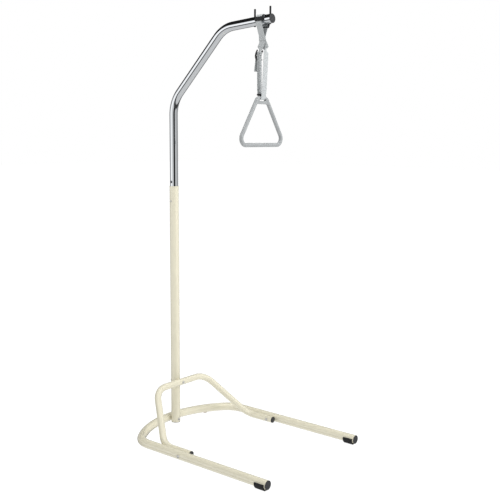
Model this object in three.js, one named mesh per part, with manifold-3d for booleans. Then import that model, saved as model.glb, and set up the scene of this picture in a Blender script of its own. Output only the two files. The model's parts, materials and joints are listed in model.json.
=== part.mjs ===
// A free-standing lifting pole for a bed: a horseshoe floor frame, a bracing hoop, an upright, and a
// chrome mast whose arm carries a webbing strap with a triangular grab handle.
// Millimetres, +Z up, the floor at Z = 0 and the legs pointing to -Y. The shapes are drawn about the
// upright's axis, and the group then moves them so that the middle of their box is the origin.

import * as THREE from "three";
import { mergeVertices } from "three/addons/utils/BufferGeometryUtils.js";
import Module from "manifold-3d";

const wasm = await Module();
wasm.setup();

// Gap between pieces that touch, and how far a cutting tool runs past what it cuts
const gap = 0.3;
const overrun = 2;

// Sides of a round section, of a small round piece, and the turn between rings round a bend
const tubeSides = 20;
const smallSides = 12;
const ringTurn = Math.PI / 13;
const railSegments = 6;

// Floor frame
const baseDiameter = 38;
const baseWall = 1.5;
const floorClearance = 4;
const legSpacing = 636;
const legReach = 814;
const cornerRadius = 110;
const bowRadius = 440;

// Bracing hoop
const hoopDiameter = 30;
const hoopWall = 1.5;
const hoopHeight = 211;
const hoopTopWidth = 320;
const hoopReach = 372;
const hoopHeel = 208;
const hoopBend = 90;

// Upright and the collar on its rim
const uprightDiameter = 42;
const uprightWall = 1.5;
const uprightFoot = 10;
const uprightTop = 1138;
const collarDiameter = 44;
const collarHeight = 3;
const collarTop = 1.7;

// Caps and plugs
const capFace = 3.5;
const capSpigot = 18;
const capRound = 1.5;
const plugFace = 3;
const plugSpigot = 8;

// Rubber front feet and their screws
const footLength = 46;
const footSetback = 8;
const footWall = 6;
const footGrip = THREE.MathUtils.degToRad(15);
const footScrewDiameter = 4;
const footScrewHead = 8;
const footScrewHeadHeight = 2;
const footScrewLength = 9;
const footScrewSink = 1;

// Rear glides
const glideSpread = 400;
const glideDiameter = 18;
const glideStem = 6;
const glideStemLength = 7;

// Bolts and nuts
const boltDiameter = 8;
const boltHead = 15;
const boltHeadHeight = 3;
const boltHeadEdge = 1;
const boltCrownShare = 0.5;
const boltTip = 1;
const boltClearance = 0.6;
const nutWidth = 13;
const nutHeight = 5;
const legBoltSetback = 29;

// Clamping screw of the upright
const clampDrop = 69;
const clampDiameter = 6;
const clampHead = 9;
const clampHeadHeight = 3;

// Mast
const mastDiameter = 38;
const mastWall = 1.5;
const mastInsertion = 300;
const mastBendHeight = 1521;
const mastKneeReach = 304.6;
const mastKneeRise = 304.8;
const mastBend = 140;
const armRise = THREE.MathUtils.degToRad(4);
const armReach = 569;
const holePitch = 89;
const holeDiameter = 12;

// Pins that keep the strap on the arm: the outer one from the arm's end, the inner one from the strap
const outerPinSetback = 13;
const innerPinSetback = 39.6;
const pinDiameter = 8;
const pinRise = 50.5;
const pinDrop = 22;

// Strap over the arm: its place from the outer pin, how far its waist hangs, and the shape of its loop
const strapSetback = 41;
const strapWidth = 30;
const strapThickness = 2;
const strapDrop = 72.5;
const loopEnd = 8;
const loopStart = 8;
const loopBend = 20;
const loopStandoff = 6.4;
const loopWidestShare = 0.87;
const loopWidestBend = 12;
const loopTopLean = THREE.MathUtils.degToRad(8);
const loopShoulderBend = 10;

// Slides on the loop's branches, and where they sit against the arm's middle
const slideWidth = 38;
const slideLength = 18;
const slideRail = 3.4;
const slideBar = 4.5;
const slidePlate = 2;
const nearSlideRise = 2.5;
const farSlideDrop = 21.5;

// Lower strap: how far the strands stand off the middle, and how far below the waist they do
const frontSpread = 20;
const backSpread = 15;
const swingStart = 16;
const twistStart = 38;
const twistEnd = 56;
const strandDrop = 68;
const footSpreadFront = 12;
const footSpreadBack = 13;
const footSpreadRise = 23.5;
const strandBend = 30;
const strandLongBend = 90;
const plyFlare = 3;
const crossingSteps = 14;

// Adjuster buckle and the strap's free tail
const adjusterDrop = 73;
const adjusterBar = 2.5;
const adjusterFootBar = 2;
const adjusterFootDrop = 13;
const adjusterFootLean = 2;
const adjusterCrownRise = 24;
const adjusterCrownLean = 6.5;
const adjusterRail = 3;
const adjusterRailWidth = 6.4;
const adjusterBulge = 9;
const adjusterBulgeRise = 3;
const shortEndReturn = 6;
const tailDrop = 61;
const tailSpread = 15;
const tailBend = 12;

// Keeper at the foot of the back strand
const keeperRise = 13;
const keeperLength = 8;
const keeperWall = 1.8;

// Handle: its top bar below the waist, and its other parts below the top bar
const handleHang = 242;
const gripDiameter = 17;
const gripDrop = 194.5;
const gripHalfWidth = 155;
const gripBend = 27;
const shoulderHalfWidth = 31;
const shoulderDrop = 5;
const shoulderBend = 9;
const slotHalfWidth = 20;
const topBarDiameter = 11;
const webDrop = 12.6;
const webHeight = 13;
const webThickness = 9;
const webOverlap = 4;

// Radii and places that follow from the sizes above
const baseRadius = baseDiameter / 2;
const hoopRadius = hoopDiameter / 2;
const uprightRadius = uprightDiameter / 2;
const mastRadius = mastDiameter / 2;
const baseHeight = floorClearance + baseRadius;
const legX = legSpacing / 2;
const bowY = uprightRadius + gap + baseRadius;
const bowCentreY = bowY - bowRadius;
const hoopX = legX - baseRadius - gap - hoopRadius;
const hoopY = -(uprightRadius + gap + hoopRadius);
const mastFoot = uprightTop - mastInsertion;
const rearReach = bowY + baseRadius + gap + nutHeight + boltTip;
const armKnee = mastBendHeight + mastKneeRise;
const clampHeight = uprightTop - clampDrop;
const outerPinReach = armReach - outerPinSetback;
const strapReach = outerPinReach - strapSetback;
const innerPinReach = strapReach - innerPinSetback;
const strapY = -strapReach;
const legBoltReach = hoopReach - legBoltSetback;

// Height of the arm's centre line at a reach from the upright
function armHeight(reach) {
  return armKnee + (reach - mastKneeReach) * Math.tan(armRise);
}

const enamel = { color: 0xe8e1c6, roughness: 0.38, metalness: 0 };
const chrome = { color: 0xd9dbdd, roughness: 0.08, metalness: 1 };
const zinc = { color: 0xb4b6b8, roughness: 0.35, metalness: 1 };
const blackPlastic = { color: 0x2b2b2d, roughness: 0.5, metalness: 0 };
const rubber = { color: 0x1e1e1f, roughness: 0.8, metalness: 0 };
const nylon = { color: 0xe4e2da, roughness: 0.55, metalness: 0 };
const webbing = { color: 0xa9adb0, roughness: 0.85, metalness: 0 };
const greyPlastic = { color: 0xc6c9cb, roughness: 0.4, metalness: 0 };

// A centre line given by its stations, the direction at each, and the way its section's x axis points
class StationLine extends THREE.Curve {
  constructor(stations) {
    super();
    this.stations = stations;
  }

  station(t) {
    return Math.round(t * (this.stations.length - 1));
  }

  getUtoTmapping(u) {
    return u;
  }

  getPoint(t, target = new THREE.Vector3()) {
    return target.copy(this.stations[this.station(t)].point);
  }

  getTangent(t, target = new THREE.Vector3()) {
    return target.copy(this.stations[this.station(t)].along);
  }

  computeFrenetFrames(segments, closed) {
    if (!this.stations[0].across) {
      return super.computeFrenetFrames(segments, closed);
    }
    const tangents = this.stations.map((s) => s.along.clone());
    const normals = this.stations.map((s) => s.across.clone().projectOnPlane(s.along).normalize());
    const binormals = normals.map((n, i) => new THREE.Vector3().crossVectors(tangents[i], n));
    return { tangents, normals, binormals };
  }
}

// Stations along straights that are joined by round bends, one radius for each inner corner
function bentStations(corners, radii, across) {
  const stations = [];
  const add = (point, along) => {
    const last = stations[stations.length - 1];
    if (!last || last.point.distanceTo(point) > gap) {
      stations.push({ point, along: along.clone(), across });
    }
  };
  const heading = (i) => corners[i + 1].clone().sub(corners[i]).normalize();
  add(corners[0].clone(), heading(0));
  radii.forEach((radius, i) => {
    const before = heading(i);
    const after = heading(i + 1);
    const turn = before.angleTo(after);
    const inward = after.clone().addScaledVector(before, -Math.cos(turn)).normalize();
    const start = corners[i + 1].clone().addScaledVector(before, -radius * Math.tan(turn / 2));
    const centre = start.clone().addScaledVector(inward, radius);
    const steps = Math.ceil(turn / ringTurn);
    for (let step = 0; step <= steps; step++) {
      const angle = (turn * step) / steps;
      const spoke = inward.clone().multiplyScalar(-Math.cos(angle)).addScaledVector(before, Math.sin(angle));
      const along = before.clone().multiplyScalar(Math.cos(angle)).addScaledVector(inward, Math.sin(angle));
      add(centre.clone().addScaledVector(spoke, radius), along);
    }
  });
  add(corners[corners.length - 1].clone(), heading(corners.length - 2));
  return stations;
}

// A section swept along stations
function sweep(section, stations) {
  const path = new StationLine(stations);
  const steps = stations.length - 1;
  const settings = { steps, extrudePath: path, bevelEnabled: false, curveSegments: tubeSides };
  return new THREE.ExtrudeGeometry(section, settings);
}

// Points of a regular polygon
function roundPoints(radius, sides) {
  const points = [];
  for (let i = 0; i < sides; i++) {
    const angle = (2 * Math.PI * i) / sides;
    points.push(new THREE.Vector2(radius * Math.cos(angle), radius * Math.sin(angle)));
  }
  return points;
}

function roundSection(radius, sides) {
  return new THREE.Shape(roundPoints(radius, sides));
}

function tubeSection(radius, wall, sides) {
  const section = roundSection(radius, sides);
  section.holes.push(new THREE.Path(roundPoints(radius - wall, sides).reverse()));
  return section;
}

function flatSection(width, thickness) {
  const section = new THREE.Shape();
  section.moveTo(-width / 2, -thickness / 2);
  section.lineTo(width / 2, -thickness / 2);
  section.lineTo(width / 2, thickness / 2);
  section.lineTo(-width / 2, thickness / 2);
  return section;
}

// A turned piece along +Z, from (radius, height) pairs that start and end on the axis or close on themselves
function turned(profile, sides) {
  const points = profile.map(([radius, height]) => new THREE.Vector2(radius, height));
  return new THREE.LatheGeometry(points, sides).rotateX(Math.PI / 2);
}

// A straight piece of one section along +Z
function bar(section, length) {
  const settings = { depth: length, bevelEnabled: false, curveSegments: smallSides };
  return new THREE.ExtrudeGeometry(section, settings);
}

// A box by its lowest and highest corners
function block(low, high) {
  const size = high.clone().sub(low);
  const centre = high.clone().add(low).divideScalar(2);
  return new THREE.BoxGeometry(size.x, size.y, size.z).translate(centre.x, centre.y, centre.z);
}

// Turns +Z into a direction and moves the start to a point
function place(geometry, point, direction) {
  const turn = new THREE.Quaternion().setFromUnitVectors(new THREE.Vector3(0, 0, 1), direction);
  return geometry.applyQuaternion(turn).translate(point.x, point.y, point.z);
}

function solid(geometry) {
  const bare = geometry.clone();
  bare.deleteAttribute("normal");
  bare.deleteAttribute("uv");
  const merged = mergeVertices(bare);
  const vertProperties = new Float32Array(merged.attributes.position.array);
  const triVerts = new Uint32Array(merged.index.array);
  return new wasm.Manifold(new wasm.Mesh({ numProp: 3, vertProperties, triVerts }));
}

function surface(body) {
  const mesh = body.getMesh();
  const geometry = new THREE.BufferGeometry();
  geometry.setAttribute("position", new THREE.BufferAttribute(mesh.vertProperties, 3));
  geometry.setIndex(new THREE.BufferAttribute(mesh.triVerts, 1));
  geometry.computeVertexNormals();
  return geometry;
}

function cut(geometry, tools) {
  return surface(tools.reduce((body, tool) => body.subtract(solid(tool)), solid(geometry)));
}

function join(geometries) {
  return surface(geometries.slice(1).reduce((body, next) => body.add(solid(next)), solid(geometries[0])));
}

// A round cutter from a point along a direction
function drill(point, direction, radius, length) {
  return place(bar(roundSection(radius, smallSides), length), point, direction);
}

function piece(name, geometry, finish) {
  const mesh = new THREE.Mesh(geometry, new THREE.MeshStandardMaterial(finish));
  mesh.name = name;
  return mesh;
}

const point = (x, y, z) => new THREE.Vector3(x, y, z);
const left = point(-1, 0, 0);
const right = point(1, 0, 0);
const front = point(0, -1, 0);
const back = point(0, 1, 0);
const up = point(0, 0, 1);
const down = point(0, 0, -1);
const sides = [["left", -1, left, right], ["right", 1, right, left]];

const part = new THREE.Group();

// Bolt holes
const holeRadius = (boltDiameter + boltClearance) / 2;
const legBoltPoint = (side, x) => point(side * x, -legBoltReach, baseHeight);
const legOuter = legX + baseRadius;
const hoopInner = hoopX - hoopRadius;
const legHole = (side, toward) =>
  drill(legBoltPoint(side, legOuter + overrun), toward, holeRadius, legOuter - hoopInner + 2 * overrun);

// Floor frame: two legs and a bow, with the tangent corners between them
const bowHalfTurn = Math.asin((legX - cornerRadius) / (bowRadius - cornerRadius));
const bowCornerY = bowCentreY + bowRadius / Math.cos(bowHalfTurn);
const legCornerY = bowCornerY - legX * Math.tan(bowHalfTurn);
const legTubeReach = legReach - capFace;

function glideCentre(side) {
  const x = glideSpread / 2;
  return point(side * x, bowCentreY + Math.sqrt(bowRadius ** 2 - x ** 2), 0);
}

function footScrewCentre(side) {
  return point(side * legX, -(legReach - footSetback - footLength / 2), 0);
}

function baseFrame() {
  const corners = [
    point(-legX, -legTubeReach, baseHeight),
    point(-legX, legCornerY, baseHeight),
    point(0, bowCornerY, baseHeight),
    point(legX, legCornerY, baseHeight),
    point(legX, -legTubeReach, baseHeight),
  ];
  const stations = bentStations(corners, [cornerRadius, bowRadius, cornerRadius], up);
  const tube = sweep(tubeSection(baseRadius, baseWall, tubeSides), stations);
  const tools = [drill(point(0, 0, baseHeight), back, holeRadius, bowY + baseRadius + overrun)];
  for (const [, side, , toward] of sides) {
    tools.push(legHole(side, toward));
    tools.push(drill(glideCentre(side), up, glideStem / 2 + gap, baseHeight));
    tools.push(drill(footScrewCentre(side), up, footScrewDiameter / 2 + gap, baseHeight));
  }
  return cut(tube, tools);
}

// Hoop: beside each leg, up over the heel, and across in front of the upright
function supportHoop() {
  const end = hoopReach - capFace;
  const corners = [
    point(-hoopX, -end, baseHeight),
    point(-hoopX, -hoopHeel, baseHeight),
    point(-hoopTopWidth / 2, hoopY, hoopHeight),
    point(hoopTopWidth / 2, hoopY, hoopHeight),
    point(hoopX, -hoopHeel, baseHeight),
    point(hoopX, -end, baseHeight),
  ];
  const stations = bentStations(corners, corners.slice(2).map(() => hoopBend));
  const tube = sweep(tubeSection(hoopRadius, hoopWall, tubeSides), stations);
  const tools = [drill(point(0, 0, hoopHeight), front, holeRadius, hoopDiameter + uprightDiameter)];
  for (const [, side, , toward] of sides) {
    tools.push(legHole(side, toward));
  }
  return cut(tube, tools);
}

function lowerUpright() {
  const length = uprightTop - collarTop - gap - uprightFoot;
  const tube = bar(tubeSection(uprightRadius, uprightWall, tubeSides), length).translate(0, 0, uprightFoot);
  const through = uprightDiameter + 2 * overrun;
  const tools = [baseHeight, hoopHeight].map((height) =>
    drill(point(0, -uprightRadius - overrun, height), back, holeRadius, through));
  tools.push(drill(point(0, 0, clampHeight), left, clampDiameter / 2 + gap, through));
  return cut(tube, tools);
}

// Collar: a ring on the rim, with a short skirt round the tube
function uprightCollar() {
  const bore = mastRadius + gap;
  const outer = collarDiameter / 2;
  const skirt = uprightRadius + gap;
  const profile = [
    [bore, uprightTop - collarTop],
    [skirt, uprightTop - collarTop],
    [skirt, uprightTop - collarHeight],
    [outer, uprightTop - collarHeight],
    [outer, uprightTop],
    [bore, uprightTop],
    [bore, uprightTop - collarTop],
  ];
  return turned(profile, tubeSides);
}

// A push-in plug or cap: its face from 0 down to -face, and its spigot above
function plug(faceRadius, face, spigotRadius, spigot, edge) {
  const profile = [
    [0, -face],
    [faceRadius - edge, -face],
    [faceRadius, edge - face],
    [faceRadius, -gap],
    [spigotRadius, -gap],
    [spigotRadius, spigot],
    [0, spigot],
  ];
  return turned(profile, tubeSides);
}

const inside = (radius, wall) => (radius - wall) * Math.cos(Math.PI / tubeSides) - gap;

function legEndCap(side) {
  const cap = plug(baseRadius, capFace, inside(baseRadius, baseWall), capSpigot, capRound);
  return place(cap, point(side * legX, -legTubeReach, baseHeight), back);
}

function hoopEndCap(side) {
  const cap = plug(hoopRadius, capFace, inside(hoopRadius, hoopWall), capSpigot / 2, capRound);
  return place(cap, point(side * hoopX, -(hoopReach - capFace), baseHeight), back);
}

// Rubber saddle: over half a ring round the leg, cut flat where it stands, with a sunk screw hole
function frontFoot(side) {
  const inner = baseRadius + gap;
  const outer = inner + footWall;
  const flat = Math.acos(baseHeight / outer);
  const section = new THREE.Shape();
  section.absarc(0, 0, outer, Math.PI - footGrip, 1.5 * Math.PI - flat, false);
  section.absarc(0, 0, outer, 1.5 * Math.PI + flat, 2 * Math.PI + footGrip, false);
  section.absarc(0, 0, inner, 2 * Math.PI + footGrip, Math.PI - footGrip, true);
  const saddle = bar(section, footLength).rotateX(Math.PI / 2);
  saddle.translate(side * legX, -(legReach - footSetback - footLength), baseHeight);
  const centre = footScrewCentre(side);
  const sink = drill(centre.clone().addScaledVector(down, overrun), up, footScrewHead / 2 + gap,
    overrun + footScrewSink + footScrewHeadHeight + gap);
  return cut(saddle, [sink, drill(centre, up, footScrewDiameter / 2 + gap, baseHeight)]);
}

function footScrew(side) {
  const head = footScrewHead / 2;
  const shank = footScrewDiameter / 2;
  const profile = [
    [0, 0],
    [head, 0],
    [head, footScrewHeadHeight],
    [shank, footScrewHeadHeight],
    [shank, footScrewLength],
    [0, footScrewLength],
  ];
  return turned(profile, smallSides).translate(side * legX, footScrewCentre(side).y, footScrewSink);
}

function rearGlide(side) {
  const disc = glideDiameter / 2;
  const stem = glideStem / 2;
  const top = floorClearance - gap;
  const profile = [
    [0, 0],
    [disc - capRound, 0],
    [disc, capRound],
    [disc, top],
    [stem, top],
    [stem, top + glideStemLength],
    [0, top + glideStemLength],
  ];
  const centre = glideCentre(side);
  return turned(profile, smallSides).translate(centre.x, centre.y, 0);
}

// A bolt from the face that its head sits on, and the nut on its far end
function bolt(from, direction, grip) {
  const head = boltHead / 2;
  const shank = boltDiameter / 2;
  const tip = grip + 2 * gap + nutHeight + boltTip;
  const profile = [
    [0, -boltHeadHeight],
    [head * boltCrownShare, -boltHeadHeight],
    [head, -boltHeadEdge],
    [head, 0],
    [shank, 0],
    [shank, tip],
    [0, tip],
  ];
  return place(turned(profile, smallSides), from.clone().addScaledVector(direction, -gap), direction);
}

function nut(from, direction, grip) {
  const hexagon = tubeSection(nutWidth / Math.sqrt(3), nutWidth / Math.sqrt(3), 6);
  hexagon.holes = [new THREE.Path(roundPoints(holeRadius, smallSides).reverse())];
  return place(bar(hexagon, nutHeight), from.clone().addScaledVector(direction, grip + gap), direction);
}

const joints = [
  ["hoop", point(0, hoopY - hoopRadius, hoopHeight), back, hoopDiameter + gap + uprightDiameter],
  ["base", point(0, -uprightRadius, baseHeight), back, uprightDiameter + gap + baseDiameter],
];
for (const [name, side, , toward] of sides) {
  joints.push([`leg_${name}`, legBoltPoint(side, legOuter), toward, legOuter - hoopInner]);
}

part.add(piece("base_frame", baseFrame(), enamel));
part.add(piece("support_hoop", supportHoop(), enamel));
part.add(piece("lower_upright", lowerUpright(), enamel));
part.add(piece("upright_collar", uprightCollar(), enamel));
const uprightBore = inside(uprightRadius, uprightWall);
const uprightPlug = plug(uprightRadius, plugFace, uprightBore, plugSpigot / 2, capRound);
part.add(piece("upright_foot_plug", uprightPlug.translate(0, 0, uprightFoot), blackPlastic));
for (const [name, side] of sides) {
  part.add(piece(`leg_end_cap_${name}`, legEndCap(side), blackPlastic));
  part.add(piece(`hoop_end_cap_${name}`, hoopEndCap(side), blackPlastic));
  part.add(piece(`front_foot_${name}`, frontFoot(side), rubber));
  part.add(piece(`foot_screw_${name}`, footScrew(side), zinc));
  part.add(piece(`rear_glide_${name}`, rearGlide(side), nylon));
}
for (const [name, from, direction, grip] of joints) {
  part.add(piece(`${name}_bolt`, bolt(from, direction, grip), zinc));
  part.add(piece(`${name}_nut`, nut(from, direction, grip), zinc));
}

// Clamping screw, backed off so that its tip just clears the mast
function clampScrew() {
  const head = clampHead / 2;
  const shank = clampDiameter / 2;
  const seat = uprightRadius - mastRadius;
  const top = seat + clampHeadHeight;
  const profile = [
    [0, 0],
    [shank, 0],
    [shank, seat],
    [head, seat],
    [head, top - capRound],
    [head - capRound, top],
    [0, top],
  ];
  return place(turned(profile, smallSides), point(-mastRadius - gap, 0, clampHeight), left);
}
part.add(piece("clamp_screw", clampScrew(), zinc));

// Mast: up, over the knee, and out along the arm
const armTubeReach = armReach - capFace * Math.cos(armRise);
const armAlong = point(0, -Math.cos(armRise), Math.sin(armRise));

function mast() {
  const corners = [
    point(0, 0, mastFoot),
    point(0, 0, mastBendHeight),
    point(0, -mastKneeReach, armKnee),
    point(0, -armTubeReach, armHeight(armTubeReach)),
  ];
  const stations = bentStations(corners, [mastBend, mastBend], right);
  const tube = sweep(tubeSection(mastRadius, mastWall, tubeSides), stations);
  const tools = [clampHeight - holePitch, clampHeight, clampHeight + holePitch].map((height) =>
    drill(point(0, 0, height), left, holeDiameter / 2, mastDiameter));
  for (const reach of [innerPinReach, outerPinReach]) {
    const height = armHeight(reach);
    tools.push(drill(point(0, -reach, height - mastDiameter), up, pinDiameter / 2 + gap, 2 * mastDiameter));
  }
  return cut(tube, tools);
}

function mastFootPlug() {
  const bore = (uprightRadius - uprightWall) * Math.cos(Math.PI / tubeSides);
  const face = Math.min(mastRadius + gap, bore) - gap / 2;
  const body = plug(face, plugFace, inside(mastRadius, mastWall), capSpigot, capRound);
  return body.translate(0, 0, mastFoot);
}

// The outer pin passes through the spigot of the arm's cap
function armEndCap() {
  const cap = plug(mastRadius, capFace, inside(mastRadius, mastWall), capSpigot, capRound);
  const end = point(0, -armTubeReach, armHeight(armTubeReach));
  const seated = place(cap, end, armAlong.clone().negate());
  const pinHole = drill(point(0, -outerPinReach, armHeight(outerPinReach) - mastDiameter), up,
    pinDiameter / 2 + gap, 2 * mastDiameter);
  return cut(seated, [pinHole]);
}

function strapPin(reach) {
  const radius = pinDiameter / 2;
  const tip = radius - capRound;
  const height = armHeight(reach);
  const profile = [
    [0, -pinDrop],
    [tip, -pinDrop],
    [radius, capRound - pinDrop],
    [radius, pinRise - capRound],
    [tip, pinRise],
    [0, pinRise],
  ];
  return turned(profile, smallSides).translate(0, -reach, height);
}

part.add(piece("mast_foot_plug", mastFootPlug(), blackPlastic));
part.add(piece("mast", mast(), chrome));
part.add(piece("arm_end_cap", armEndCap(), blackPlastic));
part.add(piece("inner_strap_pin", strapPin(innerPinReach), blackPlastic));
part.add(piece("outer_strap_pin", strapPin(outerPinReach), blackPlastic));

// How far a line from a point beside a circle leans so that it just touches the circle's near side
function tangentLean(offset, rise, radius) {
  return Math.asin(radius / Math.hypot(offset, rise)) - Math.atan2(offset, rise);
}

// Webbing over the arm: the branches close in to a waist, outside the lower strap's two plies
const armAtStrap = armHeight(strapReach);
const waistHeight = armAtStrap - strapDrop;
const ply = strapThickness + gap;
const plyOffset = ply / 2;
const branchOffset = plyOffset + ply;
const branchTop = waistHeight + loopStart;
const loopSlope = (strapWidth / 2) * Math.tan(armRise);
const loopRise = mastRadius / Math.cos(armRise) + loopSlope + gap + strapThickness / 2;
const loopTop = armAtStrap + loopRise;
const widestX = mastRadius + loopStandoff;
const widestHeight = waistHeight + strapDrop * loopWidestShare;
const branchLean = Math.atan2(widestX - branchOffset, widestHeight - branchTop);

function strapLoop() {
  const shoulderX = widestX - (loopTop - widestHeight) * Math.tan(loopTopLean);
  const corners = [];
  for (const side of [-1, 1]) {
    const half = [
      point(side * branchOffset, strapY, waistHeight - loopEnd),
      point(side * branchOffset, strapY, branchTop),
      point(side * widestX, strapY, widestHeight),
      point(side * shoulderX, strapY, loopTop),
    ];
    corners.push(...(side < 0 ? half : half.reverse()));
  }
  const radii = [loopBend, loopWidestBend, loopShoulderBend];
  const stations = bentStations(corners, [...radii, ...radii.slice().reverse()], back);
  return sweep(flatSection(strapWidth, strapThickness), stations);
}

// A slide round a flat strap that runs along its Z: a cover on one side, and two bars on the other
function coveredSlide() {
  const half = slideWidth / 2;
  const end = slideLength / 2;
  const inner = strapThickness / 2 + gap;
  const outer = inner + slidePlate;
  const bars = [
    block(point(inner, -half, -end), point(outer, half, end)),
    block(point(-outer, -half, -end), point(-inner, half, slideBar - end)),
    block(point(-outer, -half, end - slideBar), point(-inner, half, end)),
  ];
  for (const low of [-half, half - slideRail]) {
    bars.push(block(point(-outer, low, -end), point(outer, low + slideRail, end)));
  }
  return join(bars);
}

// A slide on a branch, with its cover away from the arm; it leans outwards by an angle
function branchSlide(side, x, height, lean) {
  const slide = coveredSlide();
  if (side < 0) {
    slide.rotateZ(Math.PI);
  }
  return slide.rotateY(side * lean).translate(side * x, strapY, height);
}

const nearSlideHeight = armAtStrap + nearSlideRise;
const nearSlideX = widestX - (nearSlideHeight - widestHeight) * Math.tan(loopTopLean);
const farSlideHeight = armAtStrap - farSlideDrop;
const farSlideX = branchOffset + (farSlideHeight - branchTop) * Math.tan(branchLean);

part.add(piece("strap_loop", strapLoop(), webbing));
part.add(piece("near_slide", branchSlide(-1, nearSlideX, nearSlideHeight, -loopTopLean), blackPlastic));
part.add(piece("far_slide", branchSlide(1, farSlideX, farSlideHeight, branchLean), blackPlastic));

// Stations of a ply that crosses at the waist in its own plane, then turns a quarter about its length
function crossingStations(side, spread, swingTop) {
  const places = [];
  const foot = waistHeight - twistEnd;
  for (let step = 0; step <= crossingSteps; step++) {
    const z = branchTop + ((foot - branchTop) * step) / crossingSteps;
    const swing = THREE.MathUtils.smoothstep(swingTop - z, 0, swingTop - foot);
    const turn = (Math.PI / 2) * THREE.MathUtils.smoothstep(waistHeight - z, twistStart, twistEnd);
    const across = point(side * Math.sin(turn), side * Math.cos(turn), 0);
    const flare = plyFlare * THREE.MathUtils.smoothstep(waistHeight - loopEnd - z, 0, twistEnd - loopEnd);
    const x = side * (plyOffset + flare) * Math.cos(turn);
    places.push({ point: point(x, strapY + spread * swing, z), across });
  }
  return places.map((here, i) => {
    const before = places[Math.max(i - 1, 0)].point;
    const after = places[Math.min(i + 1, places.length - 1)].point;
    return { ...here, along: after.clone().sub(before).normalize() };
  });
}

// Lower strap: down the front, under the handle's top bar, up the back, over the lock bar, and its tail
const topBarHeight = waistHeight - handleHang;
const barClearance = gap + strapThickness / 2;
const lockRadius = adjusterBar + barClearance;
const adjusterY = strapY + backSpread + lockRadius;
const adjusterLock = waistHeight - adjusterDrop;
const adjusterTop = adjusterLock + 2 * lockRadius + strapThickness + 2 * gap;
const wrapRadius = topBarDiameter / 2 + barClearance;
const footSpreadHeight = topBarHeight + footSpreadRise;

function wrapCorner(spread) {
  const lean = tangentLean(spread, footSpreadRise, wrapRadius);
  return wrapRadius * Math.tan((Math.PI / 2 + lean) / 2);
}

function strapSling() {
  const crossing = crossingStations(1, -frontSpread, branchTop);
  const corners = [
    crossing[crossing.length - 1].point,
    point(0, strapY - frontSpread, waistHeight - strandDrop),
    point(0, strapY - footSpreadFront, footSpreadHeight),
    point(0, strapY - wrapCorner(footSpreadFront), topBarHeight - wrapRadius),
    point(0, strapY + wrapCorner(footSpreadBack), topBarHeight - wrapRadius),
    point(0, strapY + footSpreadBack, footSpreadHeight),
    point(0, strapY + backSpread, adjusterLock),
    point(0, strapY + backSpread, adjusterLock + lockRadius),
    point(0, adjusterY + lockRadius, adjusterLock + lockRadius),
    point(0, adjusterY + lockRadius, adjusterLock - lockRadius),
    point(0, strapY + backSpread + tailSpread, adjusterLock - tailDrop),
  ];
  const radii = [strandLongBend, strandBend, wrapRadius, wrapRadius, strandBend, strandLongBend, lockRadius,
    lockRadius, tailBend];
  const strand = bentStations(corners, radii, right);
  return sweep(flatSection(strapWidth, strapThickness), [...crossing, ...strand.slice(1)]);
}

// Short end: from the waist down to the adjuster, under its top bar and up again
function strapShortEnd() {
  const crossing = crossingStations(-1, backSpread, waistHeight - swingStart);
  const corners = [
    crossing[crossing.length - 1].point,
    point(0, strapY + backSpread, adjusterTop - lockRadius),
    point(0, adjusterY + lockRadius, adjusterTop - lockRadius),
    point(0, adjusterY + lockRadius, adjusterTop + shortEndReturn),
  ];
  const strand = bentStations(corners, [lockRadius, lockRadius], left);
  return sweep(flatSection(strapWidth, strapThickness), [...crossing, ...strand.slice(1)]);
}

// Adjuster: two bowed side rails and three bars
function adjusterBuckle() {
  const half = adjusterRailWidth / 2;
  const rail = new THREE.Shape();
  rail.absarc(-adjusterFootLean, -adjusterFootDrop, half, Math.PI, 2 * Math.PI, false);
  rail.quadraticCurveTo(adjusterBulge + half, adjusterBulgeRise, half - adjusterCrownLean, adjusterCrownRise);
  rail.absarc(-adjusterCrownLean, adjusterCrownRise, half, 0, Math.PI, false);
  rail.quadraticCurveTo(adjusterBulge - half, adjusterBulgeRise, -half - adjusterFootLean, -adjusterFootDrop);
  const inner = strapWidth / 2 + 2 * gap;
  const pieces = [];
  for (const x of [-inner - adjusterRail, inner]) {
    const settings = { depth: adjusterRail, bevelEnabled: false, curveSegments: railSegments };
    const plate = new THREE.ExtrudeGeometry(rail, settings).rotateX(Math.PI / 2).rotateZ(Math.PI / 2);
    pieces.push(plate.translate(x, adjusterY, adjusterLock));
  }
  const bars = [[adjusterTop, adjusterBar], [adjusterLock, adjusterBar],
    [adjusterLock - adjusterFootDrop, adjusterFootBar]];
  for (const [height, radius] of bars) {
    pieces.push(drill(point(-inner - gap, adjusterY, height), right, radius, 2 * (inner + gap)));
  }
  return join(pieces);
}

// Keeper: a flat ring round the back strand
function strapKeeper() {
  const lean = -tangentLean(footSpreadBack, footSpreadRise, wrapRadius);
  const y = strapY + footSpreadBack - (footSpreadRise - keeperRise) * Math.tan(lean);
  const slack = gap;
  const ring = flatSection(strapWidth + 2 * (slack + keeperWall), strapThickness + 2 * (slack + keeperWall));
  const hole = flatSection(strapWidth + 2 * slack, strapThickness + 2 * slack);
  ring.holes.push(new THREE.Path(hole.getPoints().reverse()));
  const keeper = bar(ring, keeperLength).translate(0, 0, -keeperLength / 2).rotateX(-lean);
  return keeper.translate(0, y, topBarHeight + keeperRise);
}

part.add(piece("strap_sling", strapSling(), webbing));
part.add(piece("strap_short_end", strapShortEnd(), webbing));
part.add(piece("adjuster_buckle", adjusterBuckle(), blackPlastic));
part.add(piece("strap_keeper", strapKeeper(), blackPlastic));

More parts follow.
